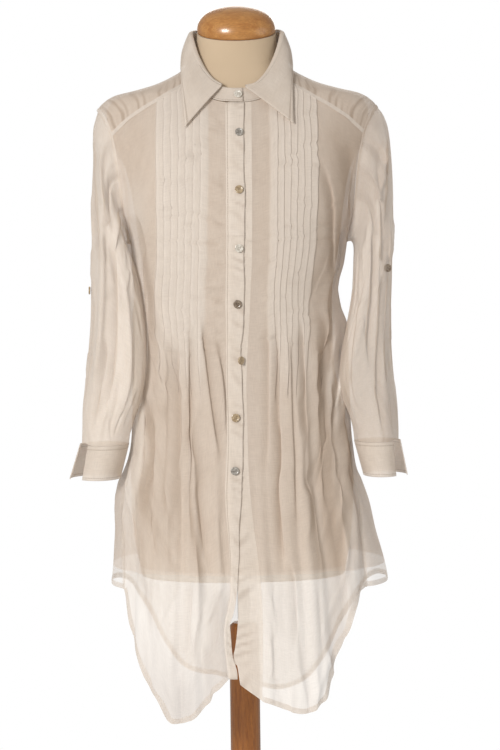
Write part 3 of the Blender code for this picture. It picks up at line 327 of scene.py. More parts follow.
# Crease lines on the front: x, height, x, height, lift, half width, lean, bow
FRONT_CREASES = [
    (-0.094, 1.060, -0.093, 0.755, -0.0040, 0.0065, 1.0, 0.003),
    (-0.080, 1.000, -0.084, 0.810, 0.0026, 0.0055, 0.9, -0.002),
    (-0.068, 1.090, -0.073, 0.720, -0.0040, 0.0050, -1.1, 0.002),
    (-0.052, 1.090, -0.020, 0.850, -0.0042, 0.0050, -1.1, 0.004),
    (-0.043, 1.070, -0.010, 0.740, 0.0046, 0.0060, 1.0, -0.004),
    (-0.060, 0.960, -0.046, 0.700, -0.0030, 0.0060, -0.9, 0.003),
    (-0.110, 1.070, -0.119, 0.760, 0.0032, 0.0075, 0.9, 0.002),
    (-0.128, 0.960, -0.134, 0.740, -0.0026, 0.0070, 0.9, 0.002),
    (-0.088, 0.960, -0.066, 0.620, 0.0036, 0.0060, 0.9, -0.004),
    (0.036, 1.080, 0.030, 0.840, -0.0024, 0.0050, 0.9, -0.002),
    (0.051, 1.090, 0.052, 0.680, -0.0038, 0.0052, 1.1, 0.002),
    (0.066, 1.070, 0.072, 0.760, 0.0030, 0.0055, 1.0, 0.002),
    (0.084, 1.080, 0.092, 0.880, -0.0042, 0.0050, 1.1, 0.000),
    (0.104, 1.060, 0.110, 0.820, 0.0032, 0.0060, 1.0, 0.001),
    (0.121, 1.110, 0.128, 0.440, -0.0076, 0.0125, 0.4, 0.001),
    (0.151, 1.000, 0.157, 0.600, -0.0044, 0.0090, 0.4, 0.000),
    (0.114, 1.090, 0.116, 0.930, -0.0036, 0.0046, 1.1, 0.002),
    (0.091, 0.860, 0.106, 0.690, -0.0034, 0.0055, 1.0, 0.000),
    (0.148, 1.010, 0.158, 0.700, 0.0036, 0.0080, 0.8, 0.002),
    (0.060, 0.740, 0.066, 0.600, -0.0026, 0.0055, 1.0, 0.000),
    (-0.080, 0.720, -0.086, 0.590, -0.0026, 0.0055, 1.0, 0.002),
    (0.112, 1.300, 0.130, 1.110, -0.0036, 0.0065, 1.1, 0.003),
    (0.148, 1.330, 0.140, 1.130, -0.0050, 0.0120, 0.4, -0.004),
    (0.138, 1.160, 0.112, 1.010, 0.0036, 0.0070, 1.0, 0.004),
    (0.146, 1.060, 0.130, 0.900, -0.0034, 0.0065, 1.0, 0.003),
    (-0.138, 1.180, -0.120, 1.030, 0.0036, 0.0070, -1.0, -0.004),
    (-0.150, 1.230, -0.128, 1.100, -0.0032, 0.0065, 1.0, -0.003),
    (-0.146, 1.060, -0.132, 0.880, -0.0030, 0.0065, -1.0, -0.002),
    (0.150, 1.210, 0.138, 1.090, -0.0036, 0.0060, 1.1, -0.003),
]

# %% Small creases, scattered with a fixed seed
chance = np.random.default_rng(11)
SCATTERED = [
    # count, angles in degrees, heights, length, lift, half width, tilt
    (46, (-62, 62), (0.56, 1.02), 0.11, 0.0011, 0.0045, 0),
    (26, (-90, -50), (0.80, 1.24), 0.09, 0.0012, 0.0050, 20),
    (26, (50, 90), (0.80, 1.24), 0.09, 0.0012, 0.0050, -20),
    (70, (100, 260), (0.53, 1.06), 0.13, 0.0013, 0.0050, 0),
    (40, (95, 265), (1.02, 1.30), 0.08, 0.0011, 0.0050, 12),
    (44, (-23, -7), (1.00, 1.37), 0.034, 0.0017, 0.0024, 82),
    (46, (-50, -23), (1.02, 1.37), 0.030, 0.0010, 0.0026, 84),
    (46, (23, 50), (1.02, 1.37), 0.030, 0.0008, 0.0026, 96),
    (26, (-72, -48), (0.72, 1.02), 0.12, 0.0020, 0.0040, 4),
    (26, (48, 72), (0.72, 1.02), 0.12, 0.0020, 0.0040, -4),
    (34, (-60, 60), (0.54, 0.72), 0.09, 0.0022, 0.0036, 3),
    (18, (8, 20), (1.00, 1.37), 0.026, 0.0009, 0.0024, 98),
]


def scattered(count, angles, heights, length, lift, half, tilt):
    """Random creases between two angles in degrees and two heights. tilt 0 runs down and 90 across."""
    made = []
    for _ in range(count):
        a = ROUND * math.radians(chance.uniform(*angles))
        z = chance.uniform(*heights)
        turn = math.radians(tilt + chance.normal(0, 9))
        long = length * chance.uniform(0.6, 1.5)
        high = lift * chance.uniform(0.4, 1.0) * chance.choice([-1, 1])
        wide = half * chance.uniform(0.7, 1.4)
        made.append((
            a, z, a + long * math.sin(turn), z - long * math.cos(turn),
            high, wide, chance.uniform(-0.8, 0.8), chance.normal(0, 0.03) * long,
        ))
    return made


def round_figure(x, height):
    """The distance round the figure of a place on the front, from its distance to the centre line."""
    return float(ROUND * signed_angle(x, height))


CREASES = [(round_figure(a, z), z, round_figure(b, y), y, *rest) for a, z, b, y, *rest in FRONT_CREASES]
for row in SCATTERED:
    CREASES += scattered(*row)
print("creases:", len(CREASES))


def worn_shaded(angle, height, off=0.0, creased=1.0):
    """Points of the worn cloth, off metres outside its wall's middle, and the painted shade of their creases.
    """
    angle, height = np.broadcast_arrays(np.asarray(angle, float), np.asarray(height, float))
    out = figure_normal(BODY, angle, height)
    wrapped = wrap(angle)
    before = crease_field(CREASES, ROUND * wrapped, height)
    behind = crease_field(CREASES, ROUND * (wrapped % FULL_TURN), height)
    back = np.abs(wrapped) > BEHIND_FROM
    lift, slide, shade = (creased * np.where(back, there, here) for here, there in zip(before, behind))
    along = unit(np.stack([-out[..., 1], out[..., 0], np.zeros(angle.shape)], -1))
    rise = WALL / 2 + fold_lift(angle, height) + off + lift
    points = figure_point(BODY, angle, height) + out * rise[..., None] + along * slide[..., None]
    share = smooth(SWAY, "share", points[..., 2]) * np.sign(points[..., 0])
    return points * np.stack([1 + share, np.ones_like(share), np.ones_like(share)], -1), shade


def worn(angle, height, off=0.0, creased=1.0):
    """The same points alone."""
    return worn_shaded(angle, height, off, creased)[0]


# %% [markdown]
# ## From a flat cut to a worn piece
#
# A pattern piece starts flat. Blender's grid is that flat cut, its UV map remembers where each point lay on
# the cloth, in metres, and moving its points onto the figure is putting the garment on. A coarse grid of
# places says how the piece lies, and smooth curves through it give the fine one.


# %% Coarse grids read finely
def glide(values, at, wraps=False):
    """Each row of a grid read at fractional columns, along smooth curves."""
    if wraps:
        padded = np.concatenate([values[:, -1:], values, values[:, :2]], 1)
    else:
        first, last = 2 * values[:, :1] - values[:, 1:2], 2 * values[:, -1:] - values[:, -2:-1]
        padded = np.concatenate([first, values, last], 1)
    at = np.broadcast_to(at, (len(values), np.shape(at)[-1]))
    i = np.clip(np.floor(at).astype(int), 0, values.shape[1] - (1 if wraps else 2))
    t = (at - i)[..., None]
    a, b, c, d = (np.take_along_axis(padded, (i + k)[..., None], 1) for k in range(4))
    return b + 0.5 * t * (c - a + t * (2 * a - 5 * b + 4 * c - d + t * (3 * (b - c) + d - a)))


def places(counts):
    """Fractional places: each interval of the coarse grid in this many steps."""
    found = [i + k / n for i, n in enumerate(counts) for k in range(n)]
    return np.array(found + [len(counts)])


def fine(values, rows, columns, wraps=False):
    """A coarse grid read finely both ways."""
    values = glide(values.swapaxes(0, 1), rows).swapaxes(0, 1)
    return glide(values, columns, wraps)


def span(points):
    """The longest way across and down a grid of points, and its area."""
    across = np.linalg.norm(np.diff(points, axis=1), axis=2).sum(1)
    down = np.linalg.norm(np.diff(points, axis=0), axis=2).sum(0)
    a, b = points[1:, :-1] - points[:-1, :-1], points[:-1, 1:] - points[:-1, :-1]
    return across.max(), down.max(), np.linalg.norm(np.cross(a, b), axis=2).sum()


def cut_report(name, points):
    """The span of a piece, printed as its cut."""
    cut = span(points)
    print(name, "cut:", [round(float(v), 3) for v in cut])
    return cut


def edit_mesh(piece, operator, **settings):
    """Runs an edit-mode operator on the whole mesh of a piece."""
    bpy.context.view_layer.objects.active = piece
    bpy.ops.object.mode_set(mode="EDIT")
    bpy.ops.mesh.select_all(action="SELECT")
    operator(**settings)
    bpy.ops.object.mode_set(mode="OBJECT")


def cut_cloth(name, points, wraps=False, **tones):
    """A flat grid, laid on rows of points that go down and columns that go to the wearer's left.

    Each tone is a grid of numbers that the cloth's finish reads: painted shade, and the pale tone of layered
    cloth and painted light."""
    rows, columns = points.shape[:2]
    if wraps:
        points = np.concatenate([points, points[:, :1]], 1)
        tones = {tone: np.concatenate([grid, grid[:, :1]], 1) for tone, grid in tones.items()}
        columns += 1
    bpy.ops.mesh.primitive_grid_add(
        x_subdivisions=columns - 1, y_subdivisions=rows - 1, size=1, calc_uvs=True
    )
    piece = bpy.context.object
    piece.name = piece.data.name = name
    mesh = piece.data
    mesh.vertices.foreach_set("co", points[::-1].reshape(-1))
    for tone, grid in tones.items():
        values = np.broadcast_to(np.clip(grid, 0, 1), (rows, columns))[::-1].astype(np.float32)
        mesh.attributes.new(tone, "FLOAT", "POINT").data.foreach_set("value", values.reshape(-1))
    wide, long, _ = span(points)
    layer = mesh.uv_layers[0].data
    flat = np.zeros(len(layer) * 2)
    layer.foreach_get("uv", flat)
    layer.foreach_set("uv", (flat.reshape(-1, 2) * [wide, long]).reshape(-1))
    mesh.shade_smooth()
    if wraps:
        edit_mesh(piece, bpy.ops.mesh.remove_doubles, threshold=1e-6)
    mesh.update()
    piece.select_set(False)
    return piece


def doubled(piece, thickness, rim=True):
    """Gives a piece of folded or lined cloth its thickness, outwards."""
    wall = piece.modifiers.new("lining", "SOLIDIFY")
    wall.thickness = thickness
    wall.offset = 1.0
    wall.use_rim = rim
    bpy.context.view_layer.objects.active = piece
    bpy.ops.object.modifier_apply(modifier="lining")
    return piece


# Cloth hangs free of the form below this height, and a second finish serves it there: a paler copy, painted
# light for the light that comes through the cloth from behind
FREE_BELOW = 0.7165


def finish_piece(piece, material, slot, *replaced):
    """What every piece needs: its finish, or two for cloth that hangs free below, its body and the solids it
    replaces; slot is not used.
    """
    finishes = material if isinstance(material, tuple) else (material,)
    piece.data.materials.clear()
    for finish in finishes:
        piece.data.materials.append(finish)
    if len(finishes) == 2:
        edit_mesh(piece, bpy.ops.mesh.bisect, plane_co=(0, 0, FREE_BELOW), plane_no=(0, 0, 1))
        heights = np.array([face.center[2] for face in piece.data.polygons])
        piece.data.polygons.foreach_set("material_index", (heights < FREE_BELOW).astype(np.int32))
    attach(piece, "root")
    if replaced:
        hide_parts(*replaced)
    print(piece.name, len(piece.data.polygons), "faces")
    return piece


# %% [markdown]
# ## Cotton voile
#
# Voile is an open weave of fine, hard-twisted threads: light passes between them, so what lies behind shows
# through, and two layers look denser than one. Its threads are uneven, which gives faint streaks along and
# across. The finish is a matt, slightly transparent surface with the streaks as a small relief; where the
# cloth is doubled the pieces are less transparent.


# %% Nodes
def new_material(name, **sockets):
    """A material, its node tree and its shader, with these values on the shader's own sockets."""
    made = bpy.data.materials.new(name)
    made.use_nodes = True
    made.surface_render_method = "BLENDED" if sockets.get("Alpha", 1) < 1 else "DITHERED"
    shader = made.node_tree.nodes["Principled BSDF"]
    for socket, value in sockets.items():
        shader.inputs[socket.replace("_", " ")].default_value = value
    return made, made.node_tree, shader


def add_node(tree, kind, inputs=(), **settings):
    """A node whose inputs are values or other nodes' sockets."""
    node = tree.nodes.new("ShaderNode" + kind)
    for name, value in settings.items():
        setattr(node, name, value)
    for name, value in dict(inputs).items():
        if isinstance(value, bpy.types.NodeSocket):
            tree.links.new(value, node.inputs[name])
        else:
            node.inputs[name].default_value = value
    return node


def math_node(tree, operation, first, second=0.5):
    """The result of a Math node."""
    return add_node(tree, "Math", {0: first, 1: second}, operation=operation).outputs[0]


def map_range(tree, value, from_low, from_high, to_low, to_high):
    """A value read on another scale, and held at its ends."""
    return add_node(
        tree, "MapRange", {"Value": value, 1: from_low, 2: from_high, 3: to_low, 4: to_high}
    ).outputs[0]


def mix_colours(tree, share, first, second, blend_type="MIX"):
    """The first colour, with this share of the second mixed in."""
    return add_node(
        tree, "Mix", {0: share, 6: first, 7: second}, data_type="RGBA", blend_type=blend_type
    ).outputs[2]


def stretched(tree, vector, scale):
    """Coordinates multiplied by a scale for each axis."""
    return add_node(tree, "Mapping", {"Vector": vector, "Scale": scale}).outputs[0]


def noise(tree, vector, scale, detail, flat=False, **more):
    """Soft noise, flat where it reads a UV map."""
    inputs = {"Vector": vector, "Scale": scale, "Detail": detail, **more}
    return add_node(tree, "TexNoise", inputs, noise_dimensions="2D" if flat else "3D").outputs[0]


def ramp(tree, value, low, dark, high, light):
    """A colour between dark, where the value is low, and light."""
    node = add_node(tree, "ValToRGB", {"Fac": value})
    for element, place, colour in zip(node.color_ramp.elements, (low, high), (dark, light)):
        element.position = place
        element.color = (*colour, 1)
    return node.outputs[0]


def bump_node(tree, height, strength, distance, under=None, **settings):
    """A small relief, laid over another one if that is given."""
    inputs = {"Height": height, "Strength": strength, "Distance": distance}
    if under:
        inputs["Normal"] = under
    return add_node(tree, "Bump", inputs, **settings).outputs[0]


# %% Cloth finishes, with colours in linear light and lengths in metres
# Light and dark of the cream thread where it lies single, over more cloth, doubled and in the sleeves; the
# pale pair is also painted light where the cloth hangs free, and the sleeves' paler cream is painted light
CREAM = (0.78, 0.685, 0.60), (0.75, 0.65, 0.565)
PALE = (0.91, 0.845, 0.775), (0.88, 0.81, 0.735)
WARM = (0.83, 0.75, 0.67), (0.79, 0.705, 0.62)
SLEEVE_CREAM_PAINTED_LIGHT = (0.88, 0.785, 0.69), (0.84, 0.74, 0.64)
# Painted shade: the cloth darkens towards this brown, by up to this share, in its creases and where light
# falls less
PAINTED_SHADE_BROWN, PAINTED_SHADE_DEPTH = (0.40, 0.30, 0.225, 1), 0.55
SHEEN_CREAM = (1.0, 0.90, 0.80, 1)
STITCH_LENGTH, STITCH_SHADE = 0.0032, (0.55, 0.46, 0.38, 1)
STITCH_EDGES = 0.0002, 0.0007
THREADS_ALONG, THREADS_ACROSS = (900, 60, 1), (60, 900, 1)


def stitch_line(tree, uv, across, lines):
    """A mask of stitches that run along one way of the cloth, at these distances along the other."""
    apart = add_node(tree, "SeparateXYZ", {"Vector": uv})
    phase = math_node(tree, "MULTIPLY", apart.outputs[1 - across], FULL_TURN / STITCH_LENGTH)
    dashes = map_range(tree, math_node(tree, "SINE", phase), -0.9, -0.5, 0.2, 1.0)
    mask = 0.0
    for place in lines:
        off = math_node(tree, "ABSOLUTE", math_node(tree, "SUBTRACT", apart.outputs[across], place))
        mask = math_node(tree, "MAXIMUM", map_range(tree, off, *STITCH_EDGES, 1.0, 0.0), mask)
    return math_node(tree, "MULTIPLY", mask, dashes)


def cloth_material(name, colours, alpha, crinkle=0.3, stitches=None, sheen=0.35):
    """Woven cotton: uneven threads both ways and a fine crinkle, paler under a pale tone for layered cloth
    and painted light, and darker towards a brown with painted shade in creases and where light falls less.
    """
    light, dark = colours
    made, tree, shader = new_material(
        name, Roughness=0.85, Sheen_Weight=sheen, Sheen_Roughness=0.5, Sheen_Tint=SHEEN_CREAM,
        Specular_IOR_Level=0.25, Alpha=alpha,
    )
    uv = add_node(tree, "TexCoord").outputs["UV"]
    warp = noise(tree, stretched(tree, uv, THREADS_ALONG), 1.0, 2.0, flat=True)
    weft = noise(tree, stretched(tree, uv, THREADS_ACROSS), 1.0, 2.0, flat=True)
    threads = math_node(tree, "ADD", warp, weft)
    rumple = noise(tree, uv, 38.0, 4.0, flat=True, Roughness=0.55)
    # A pale tone from the piece's own attribute: layered cloth over the tucks, and painted light over the
    # tucks, the free skirt and the loose side
    layers = add_node(tree, "Attribute", attribute_name="layers").outputs["Fac"]
    # Painted shade from the piece's own attribute: its creases and the places where light falls less
    creases = add_node(tree, "Attribute", attribute_name="crease").outputs["Fac"]
    tint = mix_colours(tree, layers, ramp(tree, rumple, 0.30, dark, 0.70, light), (*PALE[0], 1))
    tint = mix_colours(tree, map_range(tree, creases, 0.0, 1.0, 0.0, PAINTED_SHADE_DEPTH), tint, PAINTED_SHADE_BROWN)
    tint = mix_colours(tree, 1.0, tint, map_range(tree, threads, 0.7, 1.3, 0.94, 1.05), "MULTIPLY")
    relief = bump_node(tree, rumple, crinkle, 0.0012)
    relief = bump_node(tree, threads, 0.35, 0.00015, relief)
    if stitches:
        sewn = stitch_line(tree, uv, *stitches)
        tint = mix_colours(tree, sewn, tint, STITCH_SHADE)
        relief = bump_node(tree, sewn, 0.6, 0.0006, relief, invert=True)
    tree.links.new(tint, shader.inputs["Base Color"])
    tree.links.new(relief, shader.inputs["Normal"])
    return made


# The free finishes take the pale pair as painted light for light that comes through the cloth from behind,
# and the sleeves' paler cream is painted light too
voile = cloth_material("voile", CREAM, 0.74)
voile_free = cloth_material("voile_free", PALE, 0.59)
voile_back = cloth_material("voile_back", CREAM, 0.66)
voile_back_free = cloth_material("voile_back_free", PALE, 0.36)
voile_sleeve = cloth_material("voile_sleeve", SLEEVE_CREAM_PAINTED_LIGHT, 0.64, sheen=0.6)
voile_yoke = cloth_material("voile_yoke", CREAM, 0.74)
voile_band = cloth_material("voile_band", WARM, 0.84, 0.6, (0, (0.003,)))
voile_band_under = cloth_material("voile_band_under", WARM, 0.80)
voile_band_free = cloth_material("voile_band_free", PALE, 0.70)
voile_collar = cloth_material("voile_collar", WARM, 0.72, 0.5, (1, (0.005, 0.0066)))
voile_doubled = cloth_material("voile_doubled", WARM, 0.68, 0.5, (1, (0.004, 0.046)))
voile_seam = cloth_material("voile_seam", PALE, 0.60, 0.4)
voile_hem = cloth_material("voile_hem", WARM, 0.52, 0.4)

# %% [markdown]
# ## Fronts with their pintucks
#
# Each front has seven pintucks: narrow folds sewn down from the yoke to the waist and pressed towards the
# side. Below their last stitch the folds open and become the skirt's fullness. In the grid a tuck is an
# S: the cloth runs out over the fold, turns back under it and goes on. Where the tuck ends the S unfolds,
# so the same columns carry on as plain cloth.

# %% Sizes of the fronts
TUCKS = 7
TUCK_END_Z, TUCK_OPEN_Z = 1.030, 0.930
TUCK_HEIGHT = {"left": 0.0015, "right": 0.0011}
# Coarse rows and columns
ARMHOLE_STEPS, YOKE_STEPS = 7, 6
STRIP_COLUMNS, SIDE_COLUMNS = 2, 9
NECK_SEAM = table("angle height", [
    (0, 1.379), (15, 1.381), (30, 1.389), (50, 1.413), (65, 1.430), (90, 1.4445), (130, 1.452), (180, 1.456),
])
YOKE_FRONT_SEAM = table("x height", [
    (0.064, 1.4150), (0.084, 1.4015), (0.105, 1.3885), (0.130, 1.3740), (0.150, 1.3610), (0.165, 1.3480),
])
BANDS = table("height right_seam right_edge left_edge left_seam", [
    (0.540, -0.0240, -0.0122, -0.0070, 0.0235), (0.580, -0.0240, -0.0122, -0.0130, 0.0235),
    (0.604, -0.0280, -0.0174, -0.0169, 0.0245), (0.614, -0.0290, -0.0187, -0.0145, 0.0250),
    (0.646, -0.0290, -0.0201, -0.0095, 0.0255), (0.664, -0.0250, -0.0146, -0.0083, 0.0250),
    (0.703, -0.0190, -0.0095, -0.0088, 0.0235), (0.738, -0.0190, -0.0062, -0.0095, 0.0205),
    (0.780, -0.0215, -0.0045, -0.0110, 0.0160), (0.808, -0.0240, -0.0030, -0.0130, 0.0130),
    (0.863, -0.0235, 0.0005, -0.0130, 0.0095), (0.920, -0.0215, 0.0030, -0.0115, 0.0085),
    (0.962, -0.0210, 0.0018, -0.0110, 0.0072), (1.018, -0.0205, 0.0010, -0.0105, 0.0095),
    (1.061, -0.0200, 0.0040, -0.0100, 0.0115), (1.097, -0.0195, 0.0057, -0.0100, 0.0150),
    (1.174, -0.0180, 0.0075, -0.0100, 0.0180), (1.250, -0.0175, 0.0085, -0.0095, 0.0190),
    (1.400, -0.0165, 0.0088, -0.0090, 0.0200),
])
TUCK_BAND = {
    "left": table("height inner outer", [
        (0.50, 0.052, 0.140), (0.70, 0.048, 0.128), (0.80, 0.044, 0.115), (0.90, 0.040, 0.102),
        (0.98, 0.038, 0.096), (1.018, 0.0383, 0.0958), (1.10, 0.041, 0.100), (1.20, 0.044, 0.108),
        (1.31, 0.0464, 0.1123), (1.42, 0.046, 0.112),
    ]),
    "right": table("height inner outer", [
        (0.50, 0.058, 0.155), (0.70, 0.056, 0.148), (0.80, 0.053, 0.136), (0.90, 0.050, 0.122),
        (0.98, 0.0495, 0.116), (1.018, 0.0498, 0.1157), (1.10, 0.048, 0.115), (1.20, 0.045, 0.1145),
        (1.31, 0.0419, 0.1148), (1.42, 0.042, 0.113),
    ]),
}
SIDE_SEAM = table("height left right", [
    (0.50, 58, 64), (0.69, 61, 66.5), (0.76, 65, 69), (0.85, 72, 73), (0.95, 80, 80), (1.05, 88, 88),
    (1.10, 90, 90), (1.182, 90, 90),
])
FRONT_HEM = {
    "right": table("x height", [
        (0.0, 0.581), (0.0128, 0.5796), (0.0246, 0.5712), (0.0500, 0.5430), (0.0814, 0.5110),
        (0.1082, 0.5060), (0.1154, 0.5118), (0.1255, 0.5364), (0.1402, 0.5541), (0.1549, 0.5921),
        (0.1652, 0.6218), (0.1728, 0.6487), (0.1758, 0.6758), (0.178, 0.690),
    ]),
    "left": table("x height", [
        (0.0, 0.5498), (0.0333, 0.5361), (0.0816, 0.5201), (0.0980, 0.5301), (0.1118, 0.5402),
        (0.1203, 0.5647), (0.1263, 0.5992), (0.1407, 0.6328), (0.1497, 0.6667), (0.1589, 0.6856),
        (0.168, 0.690),
    ]),
}
BACK_HEM = table("angle left right", [
    (60, 0.690, 0.690), (104, 0.688, 0.687), (112, 0.681, 0.680), (119, 0.664, 0.665),
    (126, 0.630, 0.633), (133, 0.580, 0.588), (141, 0.538, 0.547), (150, 0.506, 0.525),
    (163, 0.4925, 0.5165), (180, 0.503, 0.503),
])
SIDE_ROW_HEIGHTS = [1.150, 1.110, 1.070, 1.030, 0.985, 0.940, 0.890, 0.840, 0.790, 0.740, SIDE_HEM_Z]


# %% Where a front lies
def neck_angle(x):
    """The angle at which the front neck seam is this far from the centre line."""
    angles = np.radians(np.linspace(-20, 60, 161))
    across = figure_point(BODY, angles, smooth(NECK_SEAM, "height", np.degrees(np.abs(angles))))[:, 0]
    return np.interp(x, across, angles)


def armhole(turn):
    """(angle, height) at a turn round the left armhole: 0 at the shoulder, 90 degrees in front."""
    return math.pi / 2 - ARMHOLE_SPREAD * np.sin(turn), ARMHOLE_MIDDLE + ARMHOLE_HALF * np.cos(turn)


def armhole_turns():
    """The turns at which the front, the back and the yoke meet the armhole."""
    front = math.acos((FRONT_CORNER_Z - ARMHOLE_MIDDLE) / ARMHOLE_HALF)
    back = math.acos((BACK_CORNER_Z - ARMHOLE_MIDDLE) / ARMHOLE_HALF)
    return {
        "front": np.linspace(front, math.pi, ARMHOLE_STEPS + 1),
        "back": np.linspace(math.pi, FULL_TURN - back, ARMHOLE_STEPS + 1),
        "yoke": np.linspace(-back, front, YOKE_STEPS + 1),
    }


def yoke_front_nodes():
    """(angles, heights) of the front yoke seam, from the neck out to the armhole."""
    x, height = YOKE_FRONT_SEAM["x"], YOKE_FRONT_SEAM["height"]
    corner = armhole(armhole_turns()["front"][0])
    return np.append(front_angle(x, height), corner[0]), np.append(height, corner[1])


def side_rows(side):
    """(angles, heights) of the side seam below the armhole."""
    return np.radians(smooth(SIDE_SEAM, side, SIDE_ROW_HEIGHTS)), np.array(SIDE_ROW_HEIGHTS)


def front_column(side, height, kind, share, edge_angle):
    """The angle of a column at these heights: in the plain strip, the tucks or the side of a front."""
    start = SIGN[side] * smooth(BANDS, side + "_seam", height)
    inner, outer = smooth(TUCK_BAND[side], "inner", height), smooth(TUCK_BAND[side], "outer", height)
    if kind == "strip":
        return signed_angle(start + (inner - start) * share, height)
    if kind == "tuck":
        return front_angle(inner + (outer - inner) * share, height)
    first = front_angle(outer, height)
    return first + (edge_angle - first) * share


def front_places(side):
    """(angle, height) of a front's coarse grid: rows down from the yoke, columns out from the band."""
    columns = [("strip", k / STRIP_COLUMNS) for k in range(STRIP_COLUMNS)]
    columns += [("tuck", k / TUCKS) for k in range(TUCKS + 1)]
    columns += [("side", s) for s in np.linspace(0, 1, SIDE_COLUMNS + 1)[1:]]
    node_angle, node_height = yoke_front_nodes()
    node_x = figure_point(BODY, node_angle, node_height)[:, 0]
    edge_angle, edge_height = armhole(armhole_turns()["front"])
    side_angle, side_height = side_rows(side)
    edge_angle, edge_height = np.append(edge_angle, side_angle), np.append(edge_height, side_height)
    drop = (edge_height[0] - edge_height) / (edge_height[0] - edge_height[-1])
    hem = FRONT_HEM[side]
    grid = np.zeros((len(drop), len(columns), 2))
    for j, (kind, share) in enumerate(columns):
        top, bottom = node_height[0], 0.6
        for _ in range(6):
            across = figure_point(BODY, front_column(side, top, kind, share, edge_angle[0]), top)[0]
            if kind == "side":
                band_edge = smooth(TUCK_BAND[side], "outer", top)
                across = band_edge + (node_x[-1] - band_edge) * share
            if across < node_x[0]:
                top = float(smooth(NECK_SEAM, "height", abs(math.degrees(neck_angle(across)))))
            else:
                top = float(np.interp(across, node_x, node_height))
        for _ in range(12):
            reach = figure_point(BODY, front_column(side, bottom, kind, share, edge_angle[-1]), bottom)[0]
            bottom = 0.5 * bottom + 0.5 * float(smooth(hem, "height", min(reach, hem["x"][-1])))
        heights = top - drop * (top - (SIDE_HEM_Z if share == 1 and kind == "side" else bottom))
        if kind == "side":
            near = share * ease(np.arange(len(drop)), 12, ARMHOLE_STEPS) if share < 1 else 1.0
            heights[1:] += ((edge_height - heights) * near)[1:]
        angles = front_column(side, heights, kind, share, edge_angle)
        if share == 1 and kind == "side":
            angles = edge_angle
        else:
            angles[0] = neck_angle(across) if across < node_x[0] else front_angle(across, top)
        grid[:, j, 0], grid[:, j, 1] = angles, heights
    return grid


# %% The folded fronts
# One tuck's columns: how far across its width each lies, and its share of the tuck's height
TUCK_ACROSS = np.array([0.0, 0.25, 0.5, 0.75, 0.97, 1.04, 0.79, 0.58, 0.79])
TUCK_RISE = np.array([0.45, 0.6, 0.75, 0.9, 1.0, 0.75, 0.55, 0.28, 0.0])
TUCK_WANDER = 0.05
FRONT_ROWS = places([8] * ARMHOLE_STEPS + [16] * len(SIDE_ROW_HEIGHTS))
STRIP_STEPS, SIDE_STEPS = 7, 6
FIRST_TUCK, LAST_TUCK = STRIP_COLUMNS, STRIP_COLUMNS + TUCKS

# How pale the tucks are, by layered cloth and painted light; where the painted light on the loose cloth at
# the side fades out above and below; and how dark the painted shade is on the chest and on the right front's
# curled edge
TUCK_PALE = {"left": 0.55, "right": 0.65}
LOOSE_TOP = {"left": (1.02, 0.99), "right": (1.30, 1.20)}
LOOSE_END = {"left": (0.90, 0.98), "right": (0.72, 0.86)}
CHEST_SHADE = {"left": 0.75, "right": 0.35}
CURL_SHADE = 0.9


def folded_front(side):
    """Angles, heights, rises and coarse columns of the fine front, its tucks folded above the waist."""
    grid = glide(front_places(side).swapaxes(0, 1), FRONT_ROWS).swapaxes(0, 1)
    closed = ease(grid[:, FIRST_TUCK + TUCKS // 2, 1], TUCK_OPEN_Z, TUCK_END_Z)[:, None]
    rows = len(grid)
    strip = np.arange(STRIP_COLUMNS * STRIP_STEPS) / STRIP_STEPS
    across, rise = [np.broadcast_to(strip, (rows, len(strip)))], [np.zeros((rows, len(strip)))]
    even = np.arange(len(TUCK_ACROSS)) / len(TUCK_ACROSS)
    for k in range(TUCKS):
        wander = TUCK_WANDER * np.sin(grid[:, 4, 1] * (38 + 9 * k) + 2.1 * k)[:, None] * (TUCK_RISE > 0.5)
        across.append(FIRST_TUCK + k + even + (TUCK_ACROSS + wander - even) * closed)
        rise.append(TUCK_RISE * TUCK_HEIGHT[side] * closed)
    sides = LAST_TUCK + np.arange(SIDE_COLUMNS * SIDE_STEPS + 1) / SIDE_STEPS
    across.append(np.broadcast_to(sides, (rows, len(sides))))
    rise.append(np.zeros((rows, len(sides))))
    across = np.concatenate(across, 1)
    fine_grid = glide(grid, across)
    return fine_grid[..., 0], fine_grid[..., 1], np.concatenate(rise, 1), across


def front_tones(side, height, across):
    """How pale and how dark a front is: painted light and painted shade.

    It is pale over its tucks, where layered cloth and painted light lie, and pale with painted light over its
    skirt and its loose side.
    Painted shade darkens it where it sinks to the armhole, and on the right front's free lower end and edge,
    which curl away from the light."""
    over_tucks = ease(across, FIRST_TUCK - 0.3, FIRST_TUCK + 0.1)
    over_tucks = over_tucks * ease(across, LAST_TUCK + 0.3, LAST_TUCK - 0.05)
    tucked = over_tucks * ease(height, 0.94, 1.07)
    out = ease(across, LAST_TUCK + 0.5, LAST_TUCK + 4.5)
    # Painted light on the loose cloth at the side
    loose = out * ease(height, *LOOSE_END[side]) * ease(height, *LOOSE_TOP[side])
    # Painted light on the skirt, for light that comes through it from behind
    skirt = 0.35 * ease(height, 0.80, 0.66)
    pale = np.maximum(TUCK_PALE[side] * np.maximum(tucked, skirt), loose)
    # Painted shade where the front sinks to the armhole
    chest = ease(height, 1.08, 1.18) * ease(height, 1.40, 1.32)
    dark = CHEST_SHADE[side] * (1 - tucked) * chest * (0.3 + 0.7 * out)
    # Painted shade on the right front's free lower end and edge
    if side == "right":
        dark = dark + CURL_SHADE * ease(across, 2.6, 0.8) * ease(height, 0.72, 0.66)
        dark = dark + CURL_SHADE * ease(height, 0.68, 0.50)
    return pale, dark


